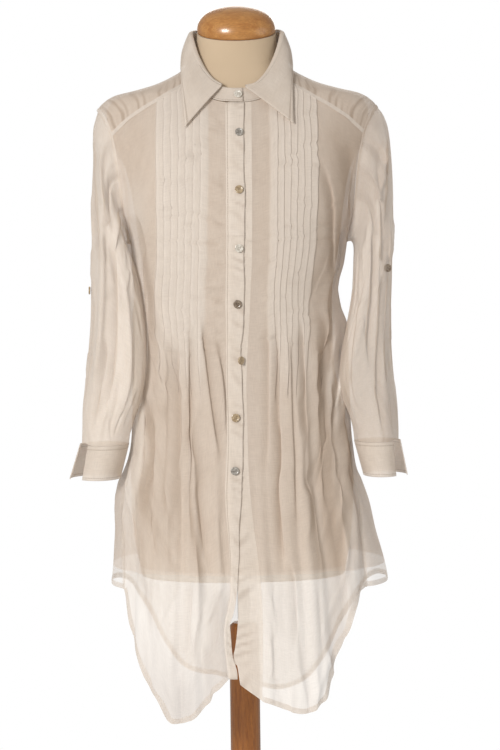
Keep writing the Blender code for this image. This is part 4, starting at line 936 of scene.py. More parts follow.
fronts, front_edges = {}, {}
for side in ("right", "left"):
    angle, height, rise, across = folded_front(side)
    front_edges[side] = {
        "band": (SIGN[side] * angle[:, 0], height[:, 0]),
        "hem": (SIGN[side] * angle[-1], height[-1]),
        "side": (SIGN[side] * angle[:, -1], height[:, -1]),
    }
    held = 0.25 + 0.75 * ease(across, 0.0, 0.6)
    points, crease = worn_shaded(SIGN[side] * angle, height, rise, held)
    layers, shaded = front_tones(side, height, across)
    # Painted shade of the creases, with the front's painted shade added
    crease = crease + shaded
    if side == "right":
        points, crease, layers = points[:, ::-1], crease[:, ::-1], layers[:, ::-1]
    cut_report(side + " front", points)
    piece = cut_cloth("front_" + side + "_voile", points, crease=crease, layers=layers)
    fronts[side] = finish_piece(piece, (voile, voile_free), "cotton_voile", "front_" + side)

# %% [markdown]
# ## Back and yoke
#
# The back is one wide panel with a long curved tail. The yoke, a doubled piece, runs from the front
# seams over the shoulders and across the back, and everything below hangs from it.

# %% The back
BACK_COLUMNS = 24
BACK_EDGE_REACH = math.radians(25)


def back_places():
    """(angle, height) of the back's coarse grid, its columns from the wearer's left to right."""
    hole_angle, hole_height = armhole(armhole_turns()["back"][::-1])
    left_angle, side_height = side_rows("left")
    left = np.append(hole_angle, left_angle)
    right = FULL_TURN - np.append(hole_angle, side_rows("right")[0])
    edge_height = np.append(hole_height, side_height)
    shares = np.linspace(0, 1, BACK_COLUMNS + 1)
    drop = ((edge_height[0] - edge_height) / (edge_height[0] - edge_height[-1]))[:, None]
    low = left[-1] + (right[-1] - left[-1]) * shares
    hem = np.where(
        low < math.pi,
        smooth(BACK_HEM, "left", np.degrees(low)),
        smooth(BACK_HEM, "right", np.degrees(FULL_TURN - low)),
    )
    angle = left[:, None] + (right - left)[:, None] * shares
    inside = np.minimum(angle - left[:, None], right[:, None] - angle)
    near = np.clip(inside / BACK_EDGE_REACH, 0, 1) ** 0.7
    height = BACK_CORNER_Z - drop * (BACK_CORNER_Z - hem)
    height = edge_height[:, None] + (height - edge_height[:, None]) * near
    return np.stack([angle, height], -1)


back_rows = places([7] * ARMHOLE_STEPS + [14] * len(SIDE_ROW_HEIGHTS))
back_grid = fine(back_places(), back_rows, places([7] * BACK_COLUMNS))
points, crease = worn_shaded(back_grid[..., 0], back_grid[..., 1])
cut_report("back", points)
# The back's painted shade lies in its creases
piece = cut_cloth("back_voile", points, crease=crease)
back = finish_piece(piece, (voile_back, voile_back_free), "cotton_voile", "back")


# %% The yoke
YOKE_SIDE_STEPS = 8
SIDE_PUCKERS, BACK_PUCKERS = 13, 40


def yoke_places():
    """(angle, height) of the yoke's coarse grid: rows out from the neck, columns from left to right front."""
    turns = armhole_turns()
    node_angle, node_height = yoke_front_nodes()
    rows = len(node_angle)
    outer_angle, outer_height = armhole(turns["yoke"][::-1])
    behind = np.linspace(outer_angle[-1], FULL_TURN - outer_angle[-1], BACK_COLUMNS + 1)
    outer_angle = np.concatenate([outer_angle, behind[1:-1], FULL_TURN - outer_angle[::-1]])
    outer_height = np.concatenate([outer_height, np.full(len(behind) - 2, BACK_CORNER_Z), outer_height[::-1]])
    count = len(outer_angle)
    neck_angles = node_angle[0] + (FULL_TURN - 2 * node_angle[0]) * np.linspace(0, 1, count)
    neck_heights = smooth(NECK_SEAM, "height", np.degrees(np.minimum(neck_angles, FULL_TURN - neck_angles)))
    neck_heights[0] = neck_heights[-1] = node_height[0]
    grid = np.zeros((rows, count, 2))
    first = (node_height - node_height[0]) / (node_height[-1] - node_height[0])
    even = np.linspace(0, 1, rows)
    for j in range(count):
        mix = min(min(j, count - 1 - j) / YOKE_STEPS, 1.0)
        down = first * (1 - mix) + even * mix
        grid[:, j, 0] = neck_angles[j] + (outer_angle[j] - neck_angles[j]) * down
        grid[:, j, 1] = neck_heights[j] + (outer_height[j] - neck_heights[j]) * down
    grid[:, 0] = np.stack([node_angle, node_height], -1)
    grid[:, -1] = np.stack([FULL_TURN - node_angle, node_height], -1)
    return grid


def yoke_puckers(rows, columns):
    """How far small puckers lift the yoke: some fan out from its two front seams, some from its back seam."""
    from_seam = np.arange(columns) / YOKE_SIDE_STEPS
    down = np.linspace(0, 1, rows)[:, None]
    lift = np.zeros((rows, columns))
    for k in range(SIDE_PUCKERS):
        row = 0.06 + 0.07 * k + chance.uniform(-0.015, 0.015)
        for seam_side in (from_seam, from_seam[::-1]):
            reach = chance.uniform(1.2, 2.8)
            high = chance.uniform(0.0004, 0.0010)
            lift += high * bell((down - row - 0.01 * seam_side) / 0.022) * bell(seam_side / reach)
    for _ in range(BACK_PUCKERS):
        at = chance.uniform(8, 28) * columns / 36
        high = chance.uniform(0.0003, 0.0009)
        lift += high * bell((np.arange(columns) - at) / 3.0) * ease(down, 0.55, 1.0)
    return lift


yoke_coarse = yoke_places()
yoke_grid = fine(
    yoke_coarse, places([7] * (len(yoke_coarse) - 1)), places([YOKE_SIDE_STEPS] * (yoke_coarse.shape[1] - 1))
)
puckers = yoke_puckers(*yoke_grid.shape[:2])
points = worn(yoke_grid[..., 0], yoke_grid[..., 1], puckers, creased=0.0)
cut_report("yoke", points)
shadow = np.clip(-np.gradient(puckers, axis=0) / 0.0002, 0, 1)
yoke = finish_piece(cut_cloth("yoke_voile", points, crease=shadow), voile_yoke, "cotton_voile", "yoke")

# %% [markdown]
# ## Seams and hems
#
# A felled seam or a hem holds three or four layers of cloth, so on sheer cotton it reads as a pale line.
# Each one is a narrow strip that follows a path on the worn figure and lies just outside the cloth.


# %% Strips along seams
ARMHOLE_SEAM_WIDTH, SEAM_WIDTH, SIDE_SEAM_HALF, HEM_WIDTH = 0.005, 0.0055, 0.003, 0.0075


def seam_strip(name, angle, height, low, high, off, finish=voile_seam):
    """A strip beside a path, from low to high metres to the side that is up where the path runs left."""
    by_angle = figure_point(BODY, angle + REACH, height) - figure_point(BODY, angle - REACH, height)
    by_height = figure_point(BODY, angle, height + REACH) - figure_point(BODY, angle, height - REACH)
    by_angle, by_height = by_angle / (2 * REACH), by_height / (2 * REACH)
    out = figure_normal(BODY, angle, height)
    path = figure_point(BODY, angle, height)
    beside = np.cross(out, unit(np.gradient(path, axis=0)))
    aa, hh, ah = (by_angle**2).sum(-1), (by_height**2).sum(-1), (by_angle * by_height).sum(-1)
    sa, sh = (beside * by_angle).sum(-1), (beside * by_height).sum(-1)
    solid = aa * hh - ah**2
    turn, climb = (sa * hh - sh * ah) / solid, (sh * aa - sa * ah) / solid
    grid = np.array([worn(angle + turn * d, height + climb * d, off) for d in np.linspace(high, low, 4)])
    facing = np.cross(np.gradient(grid, axis=1), -np.gradient(grid, axis=0))
    if (facing * out).sum() < 0:
        grid = grid[:, ::-1]
    return finish_piece(cut_cloth(name, grid), finish, "cotton_voile")


node_angle, node_height = yoke_front_nodes()
along_seam = np.linspace(0, len(node_angle) - 1, 60)
seam_angle, seam_height = glide(np.stack([node_angle, node_height], -1)[None], along_seam)[0].T
hole_angle, hole_height = armhole(np.linspace(0, FULL_TURN, 160))
seams = {"left": [], "right": [], "back": [], "yoke": []}
for side in ("right", "left"):
    sign = SIGN[side]
    seams["yoke"].append(seam_strip(
        "yoke_front_seam_" + side, sign * seam_angle, seam_height, -0.001 * sign, SEAM_WIDTH * sign, 0.0009
    ))
    # The left armhole seam takes the plain voile, darker than the pale seam finish: painted shade for the
    # shadow in that armhole
    finish = voile_seam if side == "right" else voile
    seams[side].append(seam_strip(
        "armhole_seam_" + side, sign * hole_angle, hole_height, 0.0, sign * ARMHOLE_SEAM_WIDTH, 0.0008, finish
    ))
    angle, height = front_edges[side]["side"]
    below = height < UNDERARM_Z
    seams[side].append(seam_strip(
        "side_seam_" + side, angle[below], height[below], -SIDE_SEAM_HALF, SIDE_SEAM_HALF, 0.0006, voile_hem
    ))
    angle, height = front_edges[side]["hem"]
    seams[side].append(seam_strip(
        "front_hem_" + side, angle, height, 0.0, sign * HEM_WIDTH, 0.0004, voile_hem
    ))
angle, height = back_grid[-1].T
seams["back"].append(seam_strip("back_hem", angle, height, 0.0, HEM_WIDTH, 0.0004, voile_hem))
corner = armhole(armhole_turns()["yoke"][0])[0]
behind = np.linspace(corner, FULL_TURN - corner, 160)
seams["yoke"].append(seam_strip(
    "yoke_back_seam", behind, np.full(160, BACK_CORNER_Z), -0.001, SEAM_WIDTH, 0.0009
))

# %% [markdown]
# ## Button bands
#
# The two front edges are folded back on themselves. The wearer's right band holds the buttonholes and laps
# over the left one, to which the buttons are sewn; below the last button the two fall apart.


# %% Button bands
OPENING_LIFT = 0.0019
BAND_WANDER, BAND_WAVE, LEFT_END_RISE = 0.0006, 0.0005, 0.024
BAND_COLUMNS, BAND_WALL = 15, 0.0006


def band_points(side):
    """A band's points and the shade in its ripples. The right band laps over the left and wanders."""
    seam_angle, heights = front_edges[side]["band"]
    start = figure_point(BODY, seam_angle, heights)[:, :1]
    shares = np.linspace(0, 1, BAND_COLUMNS)
    level = heights[:, None] + np.zeros(len(shares))
    if side == "left":
        level = level + LEFT_END_RISE * shares * ease(level, 0.60, 0.56)
    wander = BAND_WANDER * (np.sin(heights * 47) + 0.7 * np.sin(heights * 101 + 1)) * (side == "right")
    x = start + ((smooth(BANDS, side + "_edge", heights) + wander)[:, None] - start) * shares
    angle = signed_angle(np.where(np.abs(x) < 1e-4, 1e-4, x), level)
    top_angle = neck_angle(x[0])
    top = smooth(NECK_SEAM, "height", np.degrees(np.abs(top_angle)))
    fade = np.clip(1 - (heights[0] - heights) / 0.02, 0, 1)[:, None]
    level = level + (top - heights[0]) * fade
    lift = OPENING_LIFT * ease(shares, 0.0, 0.28) if side == "right" else 0 * shares
    ripples = np.sin(level * 330 + 5 * shares + 3 * np.sin(level * 60))
    wave = ripples * np.sin(level * 41 + 1) * ease(shares, 0.1, 0.7)
    points = worn(angle, level, lift - LAP_GAP + BAND_WAVE * wave, creased=0.25)
    crease = np.clip(0.55 * np.roll(wave, 1, 0), 0, 1)
    return (points, crease) if side == "right" else (points[:, ::-1], crease[:, ::-1])


bands, band_cuts = {}, {}
for side in ("right", "left"):
    points, crease = band_points(side)
    band_cuts[side] = cut_report(side + " band", points)
    piece = cut_cloth("button_band_" + side + "_voile", points, crease=crease)
    piece = doubled(piece, BAND_WALL, rim=side == "right")
    finish = voile_band if side == "right" else voile_band_under
    bands[side] = finish_piece(piece, (finish, voile_band_free), "cotton_voile", "button_band_" + side)

# %% [markdown]
# ## Collar
#
# A two-piece shirt collar: a stand round the neck that buttons in front, and a leaf that folds over it
# and ends in two long points. Both are doubled and topstitched close to the edge.

# %% Collar sizes
DOUBLED_WALL = 0.0011
STAND_TOP = table("angle radius height", [
    (0, 0.0725, 1.3995), (20, 0.0700, 1.4050), (30, 0.0680, 1.4135), (60, 0.0635, 1.4500),
    (75, 0.0632, 1.4710), (90, 0.0635, 1.4835), (130, 0.0665, 1.4920), (180, 0.0710, 1.4950),
])
COLLAR_EDGE = table("share angle height off", [
    (0.00, 37.0, 1.342, 0.0060), (0.10, 43.0, 1.371, 0.0055), (0.22, 53.0, 1.403, 0.0050),
    (0.36, 74.0, 1.429, 0.0045), (0.50, 95.0, 1.438, 0.0050), (0.75, 138.0, 1.446, 0.0060),
    (1.00, 180.0, 1.448, 0.0070),
])
COLLAR_FOLD_START = {"right": 17.0, "left": 9.5}
LEFT_TIP_TURN, LEFT_TIP_RISE = 2.5, 0.0035
# The fold over the stand, as metres out and up, and how far the leaf bellies out below it
COLLAR_ROLL = ((-0.0002, 0.0021), (0.0022, 0.0028), (0.0045, 0.0018), (0.0060, -0.0006))
COLLAR_BELLY = 0.0035


def stand_point(degrees, share, lap=0.0):
    """The collar stand at an angle, from the neck seam at share 0 to the fold at share 1."""
    turned_by = np.abs(degrees)
    angle = np.radians(degrees)
    height = smooth(NECK_SEAM, "height", turned_by)
    out = figure_normal(BODY, angle, height)
    up = unit(np.array([0, 0, 1.0]) - out * out[..., 2:])
    low = figure_point(BODY, angle, height) + up * (SEAM_GAP + WALL * out[..., 2:])
    low = low + out * np.reshape(lap, (-1, 1))
    radius = smooth(STAND_TOP, "radius", turned_by) + lap
    top = smooth(STAND_TOP, "height", turned_by)
    high = np.stack([radius * np.sin(angle), -radius * np.cos(angle), top], -1)
    return low + (high - low) * share


def stand_lap(degrees):
    """How far the stand's right end stands out where it laps over the left one."""
    return OPENING_LIFT * ease(degrees, 338, 352)


# %% Collar stand and leaf
degrees = np.concatenate([np.linspace(-7.0, 172.0, 16), np.linspace(184.0, 366.0, 16)])
facing = (degrees + 180) % 360 - 180
coarse = np.array([stand_point(facing, share, stand_lap(degrees)) for share in (1.0, 0.5, 0.0)])
points = fine(coarse, places([6, 6]), places([6] * 31))
stand = doubled(cut_cloth("collar_stand_voile", points), DOUBLED_WALL)
finish_piece(stand, voile_doubled, "cotton_voile", "collar_stand")
stand_cut = cut_report("stand", points)

degrees = np.concatenate([
    np.linspace(COLLAR_FOLD_START["left"], 172, 15), np.linspace(188, 360 - COLLAR_FOLD_START["right"], 15)
])
facing = (degrees + 180) % 360 - 180
share = np.concatenate([np.linspace(0, 0.96, 15), np.linspace(0.96, 0, 15)])
top = stand_point(facing, 1.0, stand_lap(degrees))
flat = top * [1, 1, 0] / np.linalg.norm(top[:, :2], axis=1)[:, None]
near_tip = np.where(facing > 0, np.clip(1 - share / 0.3, 0, 1), 0)
edge_angle = np.radians((smooth(COLLAR_EDGE, "angle", share) + LEFT_TIP_TURN * near_tip) * np.sign(facing))
edge_height = smooth(COLLAR_EDGE, "height", share) + LEFT_TIP_RISE * near_tip
edge = figure_point(BODY, edge_angle, edge_height)
edge = edge + figure_normal(BODY, edge_angle, edge_height) * smooth(COLLAR_EDGE, "off", share)[:, None]
rows = [top + flat * out_by + np.array([0, 0, up_by]) for out_by, up_by in COLLAR_ROLL]
rows += [
    rows[-1] + (edge - rows[-1]) * down_by + flat * (COLLAR_BELLY * math.sin(math.pi * down_by))
    for down_by in (0.25, 0.5, 0.75, 1.0)
]
points = fine(np.array(rows), places([4, 4, 4, 6, 6, 6, 6]), places([7] * 29))
collar = doubled(cut_cloth("collar_voile", points), DOUBLED_WALL)
finish_piece(collar, voile_collar, "cotton_voile", "collar")
collar_cut = cut_report("collar", points)

# %% [markdown]
# ## Sleeves and cuffs
#
# The sleeves hang empty. Their cloth has gathered itself into a few long folds that start at the armhole
# and slide down and forward, and shorter creases cross them. They lie a little further in and forward than
# their solids. The cuffs are doubled, unbuttoned, and one end of each has fallen away from the other.

# %% Sleeve sizes
RING_COLUMNS = "step outer_z left right inner_z inner_left inner_right half_depth centre_y settled forward"
SLEEVE_RINGS = table(RING_COLUMNS, [
    (1, 1.3745, 0.2045, 0.2020, 1.1840, 0.1600, 0.1600, 0.0665, 0.001, 0.15, 0),
    (2, 1.3660, 0.2105, 0.2045, 1.1830, 0.1645, 0.1640, 0.0680, -0.001, 0.35, 0),
    (3, 1.3500, 0.2165, 0.2085, 1.1770, 0.1668, 0.1625, 0.0680, -0.004, 0.60, 0.003),
    (4, 1.3280, 0.2200, 0.2090, 1.1670, 0.1668, 0.1570, 0.0670, -0.008, 0.80, 0.008),
    (5, 1.2960, 0.2215, 0.2090, 1.1520, 0.1655, 0.1500, 0.0660, -0.013, 1.0, 0.013),
    (6, 1.2550, 0.2220, 0.2105, 1.1300, 0.1640, 0.1435, 0.0650, -0.019, 1.0, 0.017),
    (7, 1.2100, 0.2215, 0.2105, 1.1030, 0.1610, 0.1390, 0.0640, -0.025, 1.0, 0.020),
    (8, 1.1650, 0.2200, 0.2110, 1.0750, 0.1555, 0.1355, 0.0625, -0.031, 1.0, 0.023),
    (9, 1.1200, 0.2185, 0.2120, 1.0470, 0.1490, 0.1340, 0.0610, -0.036, 1.0, 0.025),
    (10, 1.0750, 0.2165, 0.2135, 1.0160, 0.1435, 0.1345, 0.0590, -0.041, 1.0, 0.025),
    (11, 1.0300, 0.2170, 0.2175, 0.9860, 0.1420, 0.1375, 0.0570, -0.043, 1.0, 0.022),
    (12, 0.9850, 0.2200, 0.2230, 0.9580, 0.1465, 0.1450, 0.0540, -0.044, 1.0, 0.016),
    (13, 0.9500, 0.2240, 0.2275, 0.9350, 0.1555, 0.1540, 0.0510, -0.045, 1.0, 0.008),
    (14, 0.9200, 0.2255, 0.2285, 0.9140, 0.1610, 0.1605, 0.0480, -0.046, 1.0, 0.002),
    (15, 0.8970, 0.2255, 0.2295, 0.8970, 0.1630, 0.1630, 0.0455, -0.047, 1.0, 0),
])
SLEEVE_FOLDS = table("turn_top turn_end lift half_turn", [
    (20, 8, 0.0025, 16), (62, 52, 0.0040, 20), (112, 98, 0.0035, 18), (250, 262, 0.0040, 22),
    (300, 310, 0.0030, 18),
])
CUFF_HEIGHT, CUFF_SLANT, CUFF_FLARE = 0.050, 0.013, {"left": 0.002, "right": 0.008}
CUFF_OPEN, CUFF_FALL = math.radians(15), 0.011
SLIT_TURN, SLIT_HEIGHT, SLIT_HALF = math.radians(32), 0.003, math.radians(20)
# Rows above the cuff, over which the slit opens and the sleeve turns round again
CUFF_ROWS = 4
# Metres round the sleeve for each radian, to place creases
SLEEVE_ROUND = 0.055
FRONT_FLATNESS = 0.5
FIRST_FOLDED_ROW = 5
ARMHOLE_HALF_DEPTH = 0.066


# %% Where a sleeve lies
def sleeve_ring(side, row, turn):
    """A ring of the sleeve, as if it were the left one: turn 0 is outside and 90 degrees in front."""
    rings = SLEEVE_RINGS
    outer = np.array([rings[side][row], 0, rings["outer_z"][row]])
    inner = np.array([rings["inner_" + side][row], 0, rings["inner_z"][row]])
    middle = (outer + inner) / 2 + [0, rings["centre_y"][row], 0]
    across = (outer - inner) / 2 * np.cos(turn)[:, None]
    from_end = min((len(rings["step"]) - 1 - row) / CUFF_ROWS, 1)
    flatter = FRONT_FLATNESS * from_end * ease(-np.cos(turn), -0.2, 0.5)
    deep = np.where(np.sin(turn) > 0, np.abs(np.sin(turn)) ** (1 - flatter), np.sin(turn))
    forward = rings["half_depth"][row] * deep + rings["forward"][row] * (1 - np.cos(turn)) / 2
    return middle + across - np.array([0, 1, 0]) * forward[:, None]


def sleeve_turns():
    """The turns of a sleeve's columns, which are those of the pieces it is sewn to."""
    turns = armhole_turns()
    return np.concatenate([turns["yoke"], turns["front"][1:], turns["back"][1:-1]])


def sleeve_rows(side):
    """A sleeve as if it were the left one, rows down from the armhole."""
    turn = sleeve_turns()
    angle, height = armhole(turn)
    hole = figure_point(BODY, angle, height)
    towards = figure_point(BODY, math.pi / 2, ARMHOLE_MIDDLE) - hole
    normal = figure_normal(BODY, angle, height)
    towards = unit(towards - normal * (towards * normal).sum(-1, keepdims=True))
    top, bottom = hole[np.argmin(np.abs(turn))], hole[np.argmin(np.abs(turn - math.pi))]
    flat = (top + bottom) / 2 + (top - bottom) / 2 * np.cos(turn)[:, None]
    flat = flat + np.array([0, -1, 0]) * (ARMHOLE_HALF_DEPTH * np.sin(turn))[:, None]
    rows = [hole + towards * SEAM_GAP * 0.8]
    for row, settled in enumerate(SLEEVE_RINGS["settled"]):
        rows.append(sleeve_ring(side, row, turn) + (hole - flat) * (1 - settled))
    grid = np.array(rows)
    count = len(grid)
    for i in range(FIRST_FOLDED_ROW, count):
        down = (i - FIRST_FOLDED_ROW) / (count - 1 - FIRST_FOLDED_ROW)
        grown = math.sin(math.pi * min(down * 1.15 + 0.08, 1)) ** 0.6
        way = unit(grid[i] - grid[i].mean(0))
        for top_turn, end_turn, lift, half in zip(*SLEEVE_FOLDS.values()):
            away = wrap(np.degrees(turn) - top_turn - (end_turn - top_turn) * down, 360)
            grid[i] += way * (lift * grown * bump(away, half))[:, None]
    slit = SLIT_HEIGHT * np.clip(1 - np.abs(wrap(turn - SLIT_TURN)) / SLIT_HALF, 0, 1)
    for i in range(count - CUFF_ROWS, count):
        grid[i, :, 2] += slit * (i - (count - 1 - CUFF_ROWS)) / CUFF_ROWS
    return grid


# Sleeve creases: turn in degrees, height, turn, height, lift, half width, lean, bow
SLEEVE_CREASES = {
    "left": [
        (8, 1.350, 62, 1.190, -0.0060, 0.0070, 1.3, 0.004),
        (28, 1.340, 92, 1.225, 0.0050, 0.0060, 1.2, 0.005),
        (72, 1.345, 34, 1.250, -0.0055, 0.0060, -1.2, 0.002),
        (92, 1.300, 58, 1.225, 0.0045, 0.0055, 1.2, 0.003),
        (118, 1.260, 78, 1.180, -0.0045, 0.0060, 1.0, 0.003),
        (70, 1.270, 58, 1.020, -0.0055, 0.0065, 1.4, 0.004),
        (42, 1.240, 30, 0.950, 0.0045, 0.0065, 1.2, -0.003),
        (98, 1.230, 84, 0.990, -0.0050, 0.0060, 1.3, 0.003),
        (14, 1.200, 12, 0.930, -0.0035, 0.0055, 1.0, 0.002),
        (112, 1.130, 122, 0.930, 0.0040, 0.0060, 0.9, 0.000),
        (56, 1.080, 78, 0.915, -0.0040, 0.0050, 1.2, 0.000),
        (34, 1.020, 46, 0.910, 0.0032, 0.0050, 1.0, 0.000),
        (38, 1.190, 38, 0.800, -0.0052, 0.0100, 0.5, 0.002),
        (60, 1.360, 70, 1.230, -0.0044, 0.0100, 0.6, 0.002),
    ],
    "right": [
        (12, 1.345, 50, 1.150, -0.0045, 0.0065, 1.2, 0.004),
        (50, 1.340, 84, 1.190, 0.0045, 0.0065, 1.2, 0.004),
        (100, 1.300, 66, 1.200, -0.0045, 0.0060, 1.2, 0.004),
        (125, 1.250, 82, 1.165, 0.0045, 0.0055, 1.2, 0.003),
        (60, 1.240, 46, 0.960, 0.0045, 0.0070, 1.1, -0.004),
        (86, 1.200, 78, 0.930, -0.0050, 0.0065, 1.4, 0.003),
        (25, 1.150, 15, 0.930, -0.0035, 0.0060, 1.0, 0.000),
        (105, 1.140, 120, 0.930, 0.0045, 0.0060, 1.0, 0.000),
        (66, 1.060, 60, 0.915, -0.0035, 0.0050, 1.1, 0.001),
    ],
}
SLEEVE_BEHIND = [
    (200, 1.180, 215, 0.930, -0.0026, 0.0060, 0.7, 0.003),
    (235, 1.260, 225, 0.980, 0.0026, 0.0065, 0.6, 0.003),
    (275, 1.300, 262, 1.000, -0.0028, 0.0060, 0.8, -0.003),
    (310, 1.330, 300, 1.060, 0.0024, 0.0060, 0.5, 0.003),
    (335, 1.250, 342, 0.930, -0.0022, 0.0055, 0.6, 0.000),
]
SMALL_CREASES = 96
SLEEVE_SHADE = {"left": 0.25, "right": 0.0}
# More shade on the left sleeve: turn, half turn, and the heights where it starts and where it is full
LEFT_SLEEVE_SHADES = [(32, 60, 0.99, 0.93), (108, 55, 1.18, 1.30), (45, 50, 1.32, 1.36)]
# Where creases fade out: rows below the armhole, heights above the cuff, distances from the button
CALM_ROWS, CUFF_CALM, BUTTON_CALM = 40, (0.897, 0.93), (0.008, 0.026)


def sleeve_creases(side):
    """The sleeve's placed and small creases, with their turns as distances round it."""
    rows = SLEEVE_CREASES[side] + SLEEVE_BEHIND
    for _ in range(SMALL_CREASES):
        turn, height = chance.uniform(0, 350), chance.uniform(0.93, 1.34)
        end = turn + chance.normal(0, 14)
        long = chance.uniform(0.03, 0.10)
        high = chance.uniform(0.0006, 0.0022) * chance.choice([-1, 1])
        wide, lean = chance.uniform(0.0022, 0.0048), chance.uniform(-0.6, 0.6)
        rows.append((turn, height, end, height - long, high, wide, lean, 0))
    return [
        (SLEEVE_ROUND * math.radians(a), z, SLEEVE_ROUND * math.radians(b), y, *rest)
        for a, z, b, y, *rest in rows
    ]


def sleeve_shades(side, turn, height):
    """The painted shade on a sleeve besides that of its creases: on its side away from the light, and more on
    the left one.
    """
    low = ease(height, 1.10, 0.93)
    from_outside = np.degrees(np.minimum(turn, FULL_TURN - turn))
    shade = SLEEVE_SHADE[side] * (1 + low) * ease(from_outside, 18, 50)
    if side == "left":
        for at, half, start, end in LEFT_SLEEVE_SHADES:
            shade = shade + bump(turn - math.radians(at), math.radians(half)) * ease(height, start, end)
    return shade


# %% The sleeves
sleeves, sleeve_cuts = {}, {}
for side in ("right", "left"):
    coarse = sleeve_rows(side)
    turn = sleeve_turns()
    rows = places([10] * 4 + [16] * (len(coarse) - 5))
    around = np.arange(len(turn) * 8) / 8
    points = fine(coarse, rows, around, wraps=True)
    fine_turn = np.interp(around, np.arange(len(turn) + 1), np.append(turn, turn[0] + FULL_TURN)) % FULL_TURN
    fine_turn = np.broadcast_to(fine_turn, points.shape[:2])
    way = np.roll(points, -1, 1) - np.roll(points, 1, 1)
    out = -unit(np.cross(way, -np.gradient(points, axis=0)))
    lift, slide, crease = crease_field(sleeve_creases(side), SLEEVE_ROUND * fine_turn, points[..., 2])
    # Creases fade out by the armhole, the cuff and the button
    calm = np.minimum(np.arange(len(points)) / CALM_ROWS, 1)[:, None] * ease(points[..., 2], *CUFF_CALM)
    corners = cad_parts["sleeve_button_" + side].data.vertices
    button = np.mean([v.co for v in corners], 0) * [SIGN[side], 1, 1]
    calm = calm * ease(np.linalg.norm(points - button, axis=2), *BUTTON_CALM)
    points = points + out * (WALL / 2 + lift * calm)[..., None] + unit(way) * (slide * calm)[..., None]
    if side == "left":
        points, crease, fine_turn = points[:, ::-1], crease[:, ::-1], fine_turn[:, ::-1]
    else:
        points = points * [-1, 1, 1]
    sleeve_cuts[side] = cut_report(side + " sleeve", points)
    # Painted shade of the creases, with the sleeve's painted shade added
    crease = crease + sleeve_shades(side, fine_turn, points[..., 2])
    piece = cut_cloth("sleeve_" + side + "_voile", points, wraps=True, crease=crease)
    sleeves[side] = finish_piece(piece, voile_sleeve, "cotton_voile", "sleeve_" + side)


# %% The cuffs
def cuff_rows(side):
    """A cuff as if it were the left one, from the sleeve's last ring down, open at the slit."""
    turns = SLIT_TURN + np.linspace(CUFF_OPEN, FULL_TURN - CUFF_OPEN, 22)
    outward = (1 + np.cos(turns)) / 2
    fallen = CUFF_FALL * ease(turns - SLIT_TURN, math.radians(270), math.radians(345))
    rows = []
    for down in (0.0, 0.33, 0.67, 1.0):
        ring = sleeve_ring(side, len(SLEEVE_RINGS["step"]) - 1, turns)
        way = unit((ring - ring.mean(0)) * [1, 1, 0])
        ring = ring + way * (fallen * (0.25 + 0.75 * down))[:, None]
        ring[:, 0] += down * (CUFF_SLANT * (1 - outward) + CUFF_FLARE[side] * outward)
        ring[:, 2] -= SEAM_GAP + (CUFF_HEIGHT - SEAM_GAP) * down
        rows.append(ring)
    return np.array(rows)


cuffs, cuff_cuts = {}, {}
for side in ("right", "left"):
    points = fine(cuff_rows(side), places([7, 7, 7]), places([6] * 21))
    points = points[:, ::-1] if side == "left" else points * [-1, 1, 1]
    cuff_cuts[side] = cut_report(side + " cuff", points)
    cuffs[side] = doubled(cut_cloth("cuff_" + side + "_voile", points), DOUBLED_WALL)
    finish_piece(cuffs[side], voile_doubled, "cotton_voile", "cuff_" + side)

# %% [markdown]
# ## Buttons
#
# Mother-of-pearl shirt buttons: a dished disc with a raised rim and four holes. One is modelled, from a
# cylinder whose top is inset and sunk, and copied to each place that the solids give. Shell buttons cut
# from different parts of the shell differ in colour, from pearly white to brown.


# %% One button
BUTTON_R, BUTTON_THICK = 0.0058, 0.0022
RIM_WIDTHS, DISH_DEPTH, EDGE_BEVEL = (BUTTON_R * 0.22, BUTTON_R * 0.16), 0.0006, 0.0004
HOLE_R, HOLE_APART = 0.00055, 0.0011


def select_faces(mesh, wanted):
    """Leaves edit mode on, with the wanted faces selected."""
    bpy.ops.object.mode_set(mode="OBJECT")
    for part in (mesh.vertices, mesh.edges):
        part.foreach_set("select", [False] * len(part))
    mesh.polygons.foreach_set("select", [bool(wanted(f)) for f in mesh.polygons])
    bpy.ops.object.mode_set(mode="EDIT")
    bpy.ops.mesh.select_mode(type="FACE")


def model_button():
    """A button at the origin, facing up."""
    bpy.ops.mesh.primitive_cylinder_add(vertices=40, radius=BUTTON_R, depth=BUTTON_THICK)
    button = bpy.context.object
    select_faces(button.data, lambda f: f.normal.z > 0.9)
    for width in RIM_WIDTHS:
        bpy.ops.mesh.inset(thickness=width)
    bpy.ops.transform.translate(value=(0, 0, -DISH_DEPTH))
    bpy.ops.object.mode_set(mode="OBJECT")
    rim = button.modifiers.new("rim", "BEVEL")
    rim.width, rim.segments, rim.angle_limit = EDGE_BEVEL, 2, math.radians(30)
    bpy.ops.object.modifier_apply(modifier="rim")
    for x, y in ((1, 1), (1, -1), (-1, 1), (-1, -1)):
        bpy.ops.mesh.primitive_cylinder_add(
            vertices=12, radius=HOLE_R, depth=0.01, location=(x * HOLE_APART, y * HOLE_APART, 0)
        )
        drill = bpy.context.object
        hole = button.modifiers.new("hole", "BOOLEAN")
        hole.object, hole.operation, hole.solver = drill, "DIFFERENCE", "EXACT"
        bpy.context.view_layer.objects.active = button
        bpy.ops.object.modifier_apply(modifier="hole")
        bpy.data.objects.remove(drill)
    button.data.shade_smooth()
    button.data.set_sharp_from_angle(angle=math.radians(35))
    return button


def pearl_material(name, light, dark):
    """Polished shell, with a swirl of two tones."""
    made, tree, shader = new_material(name, Roughness=0.22, Coat_Weight=0.5, Coat_Roughness=0.12)
    place = add_node(tree, "TexCoord").outputs["Object"]
    swirl = noise(tree, place, 260.0, 3.0, Distortion=1.5)
    tree.links.new(ramp(tree, swirl, 0.35, dark, 0.65, light), shader.inputs["Base Color"])
    return made


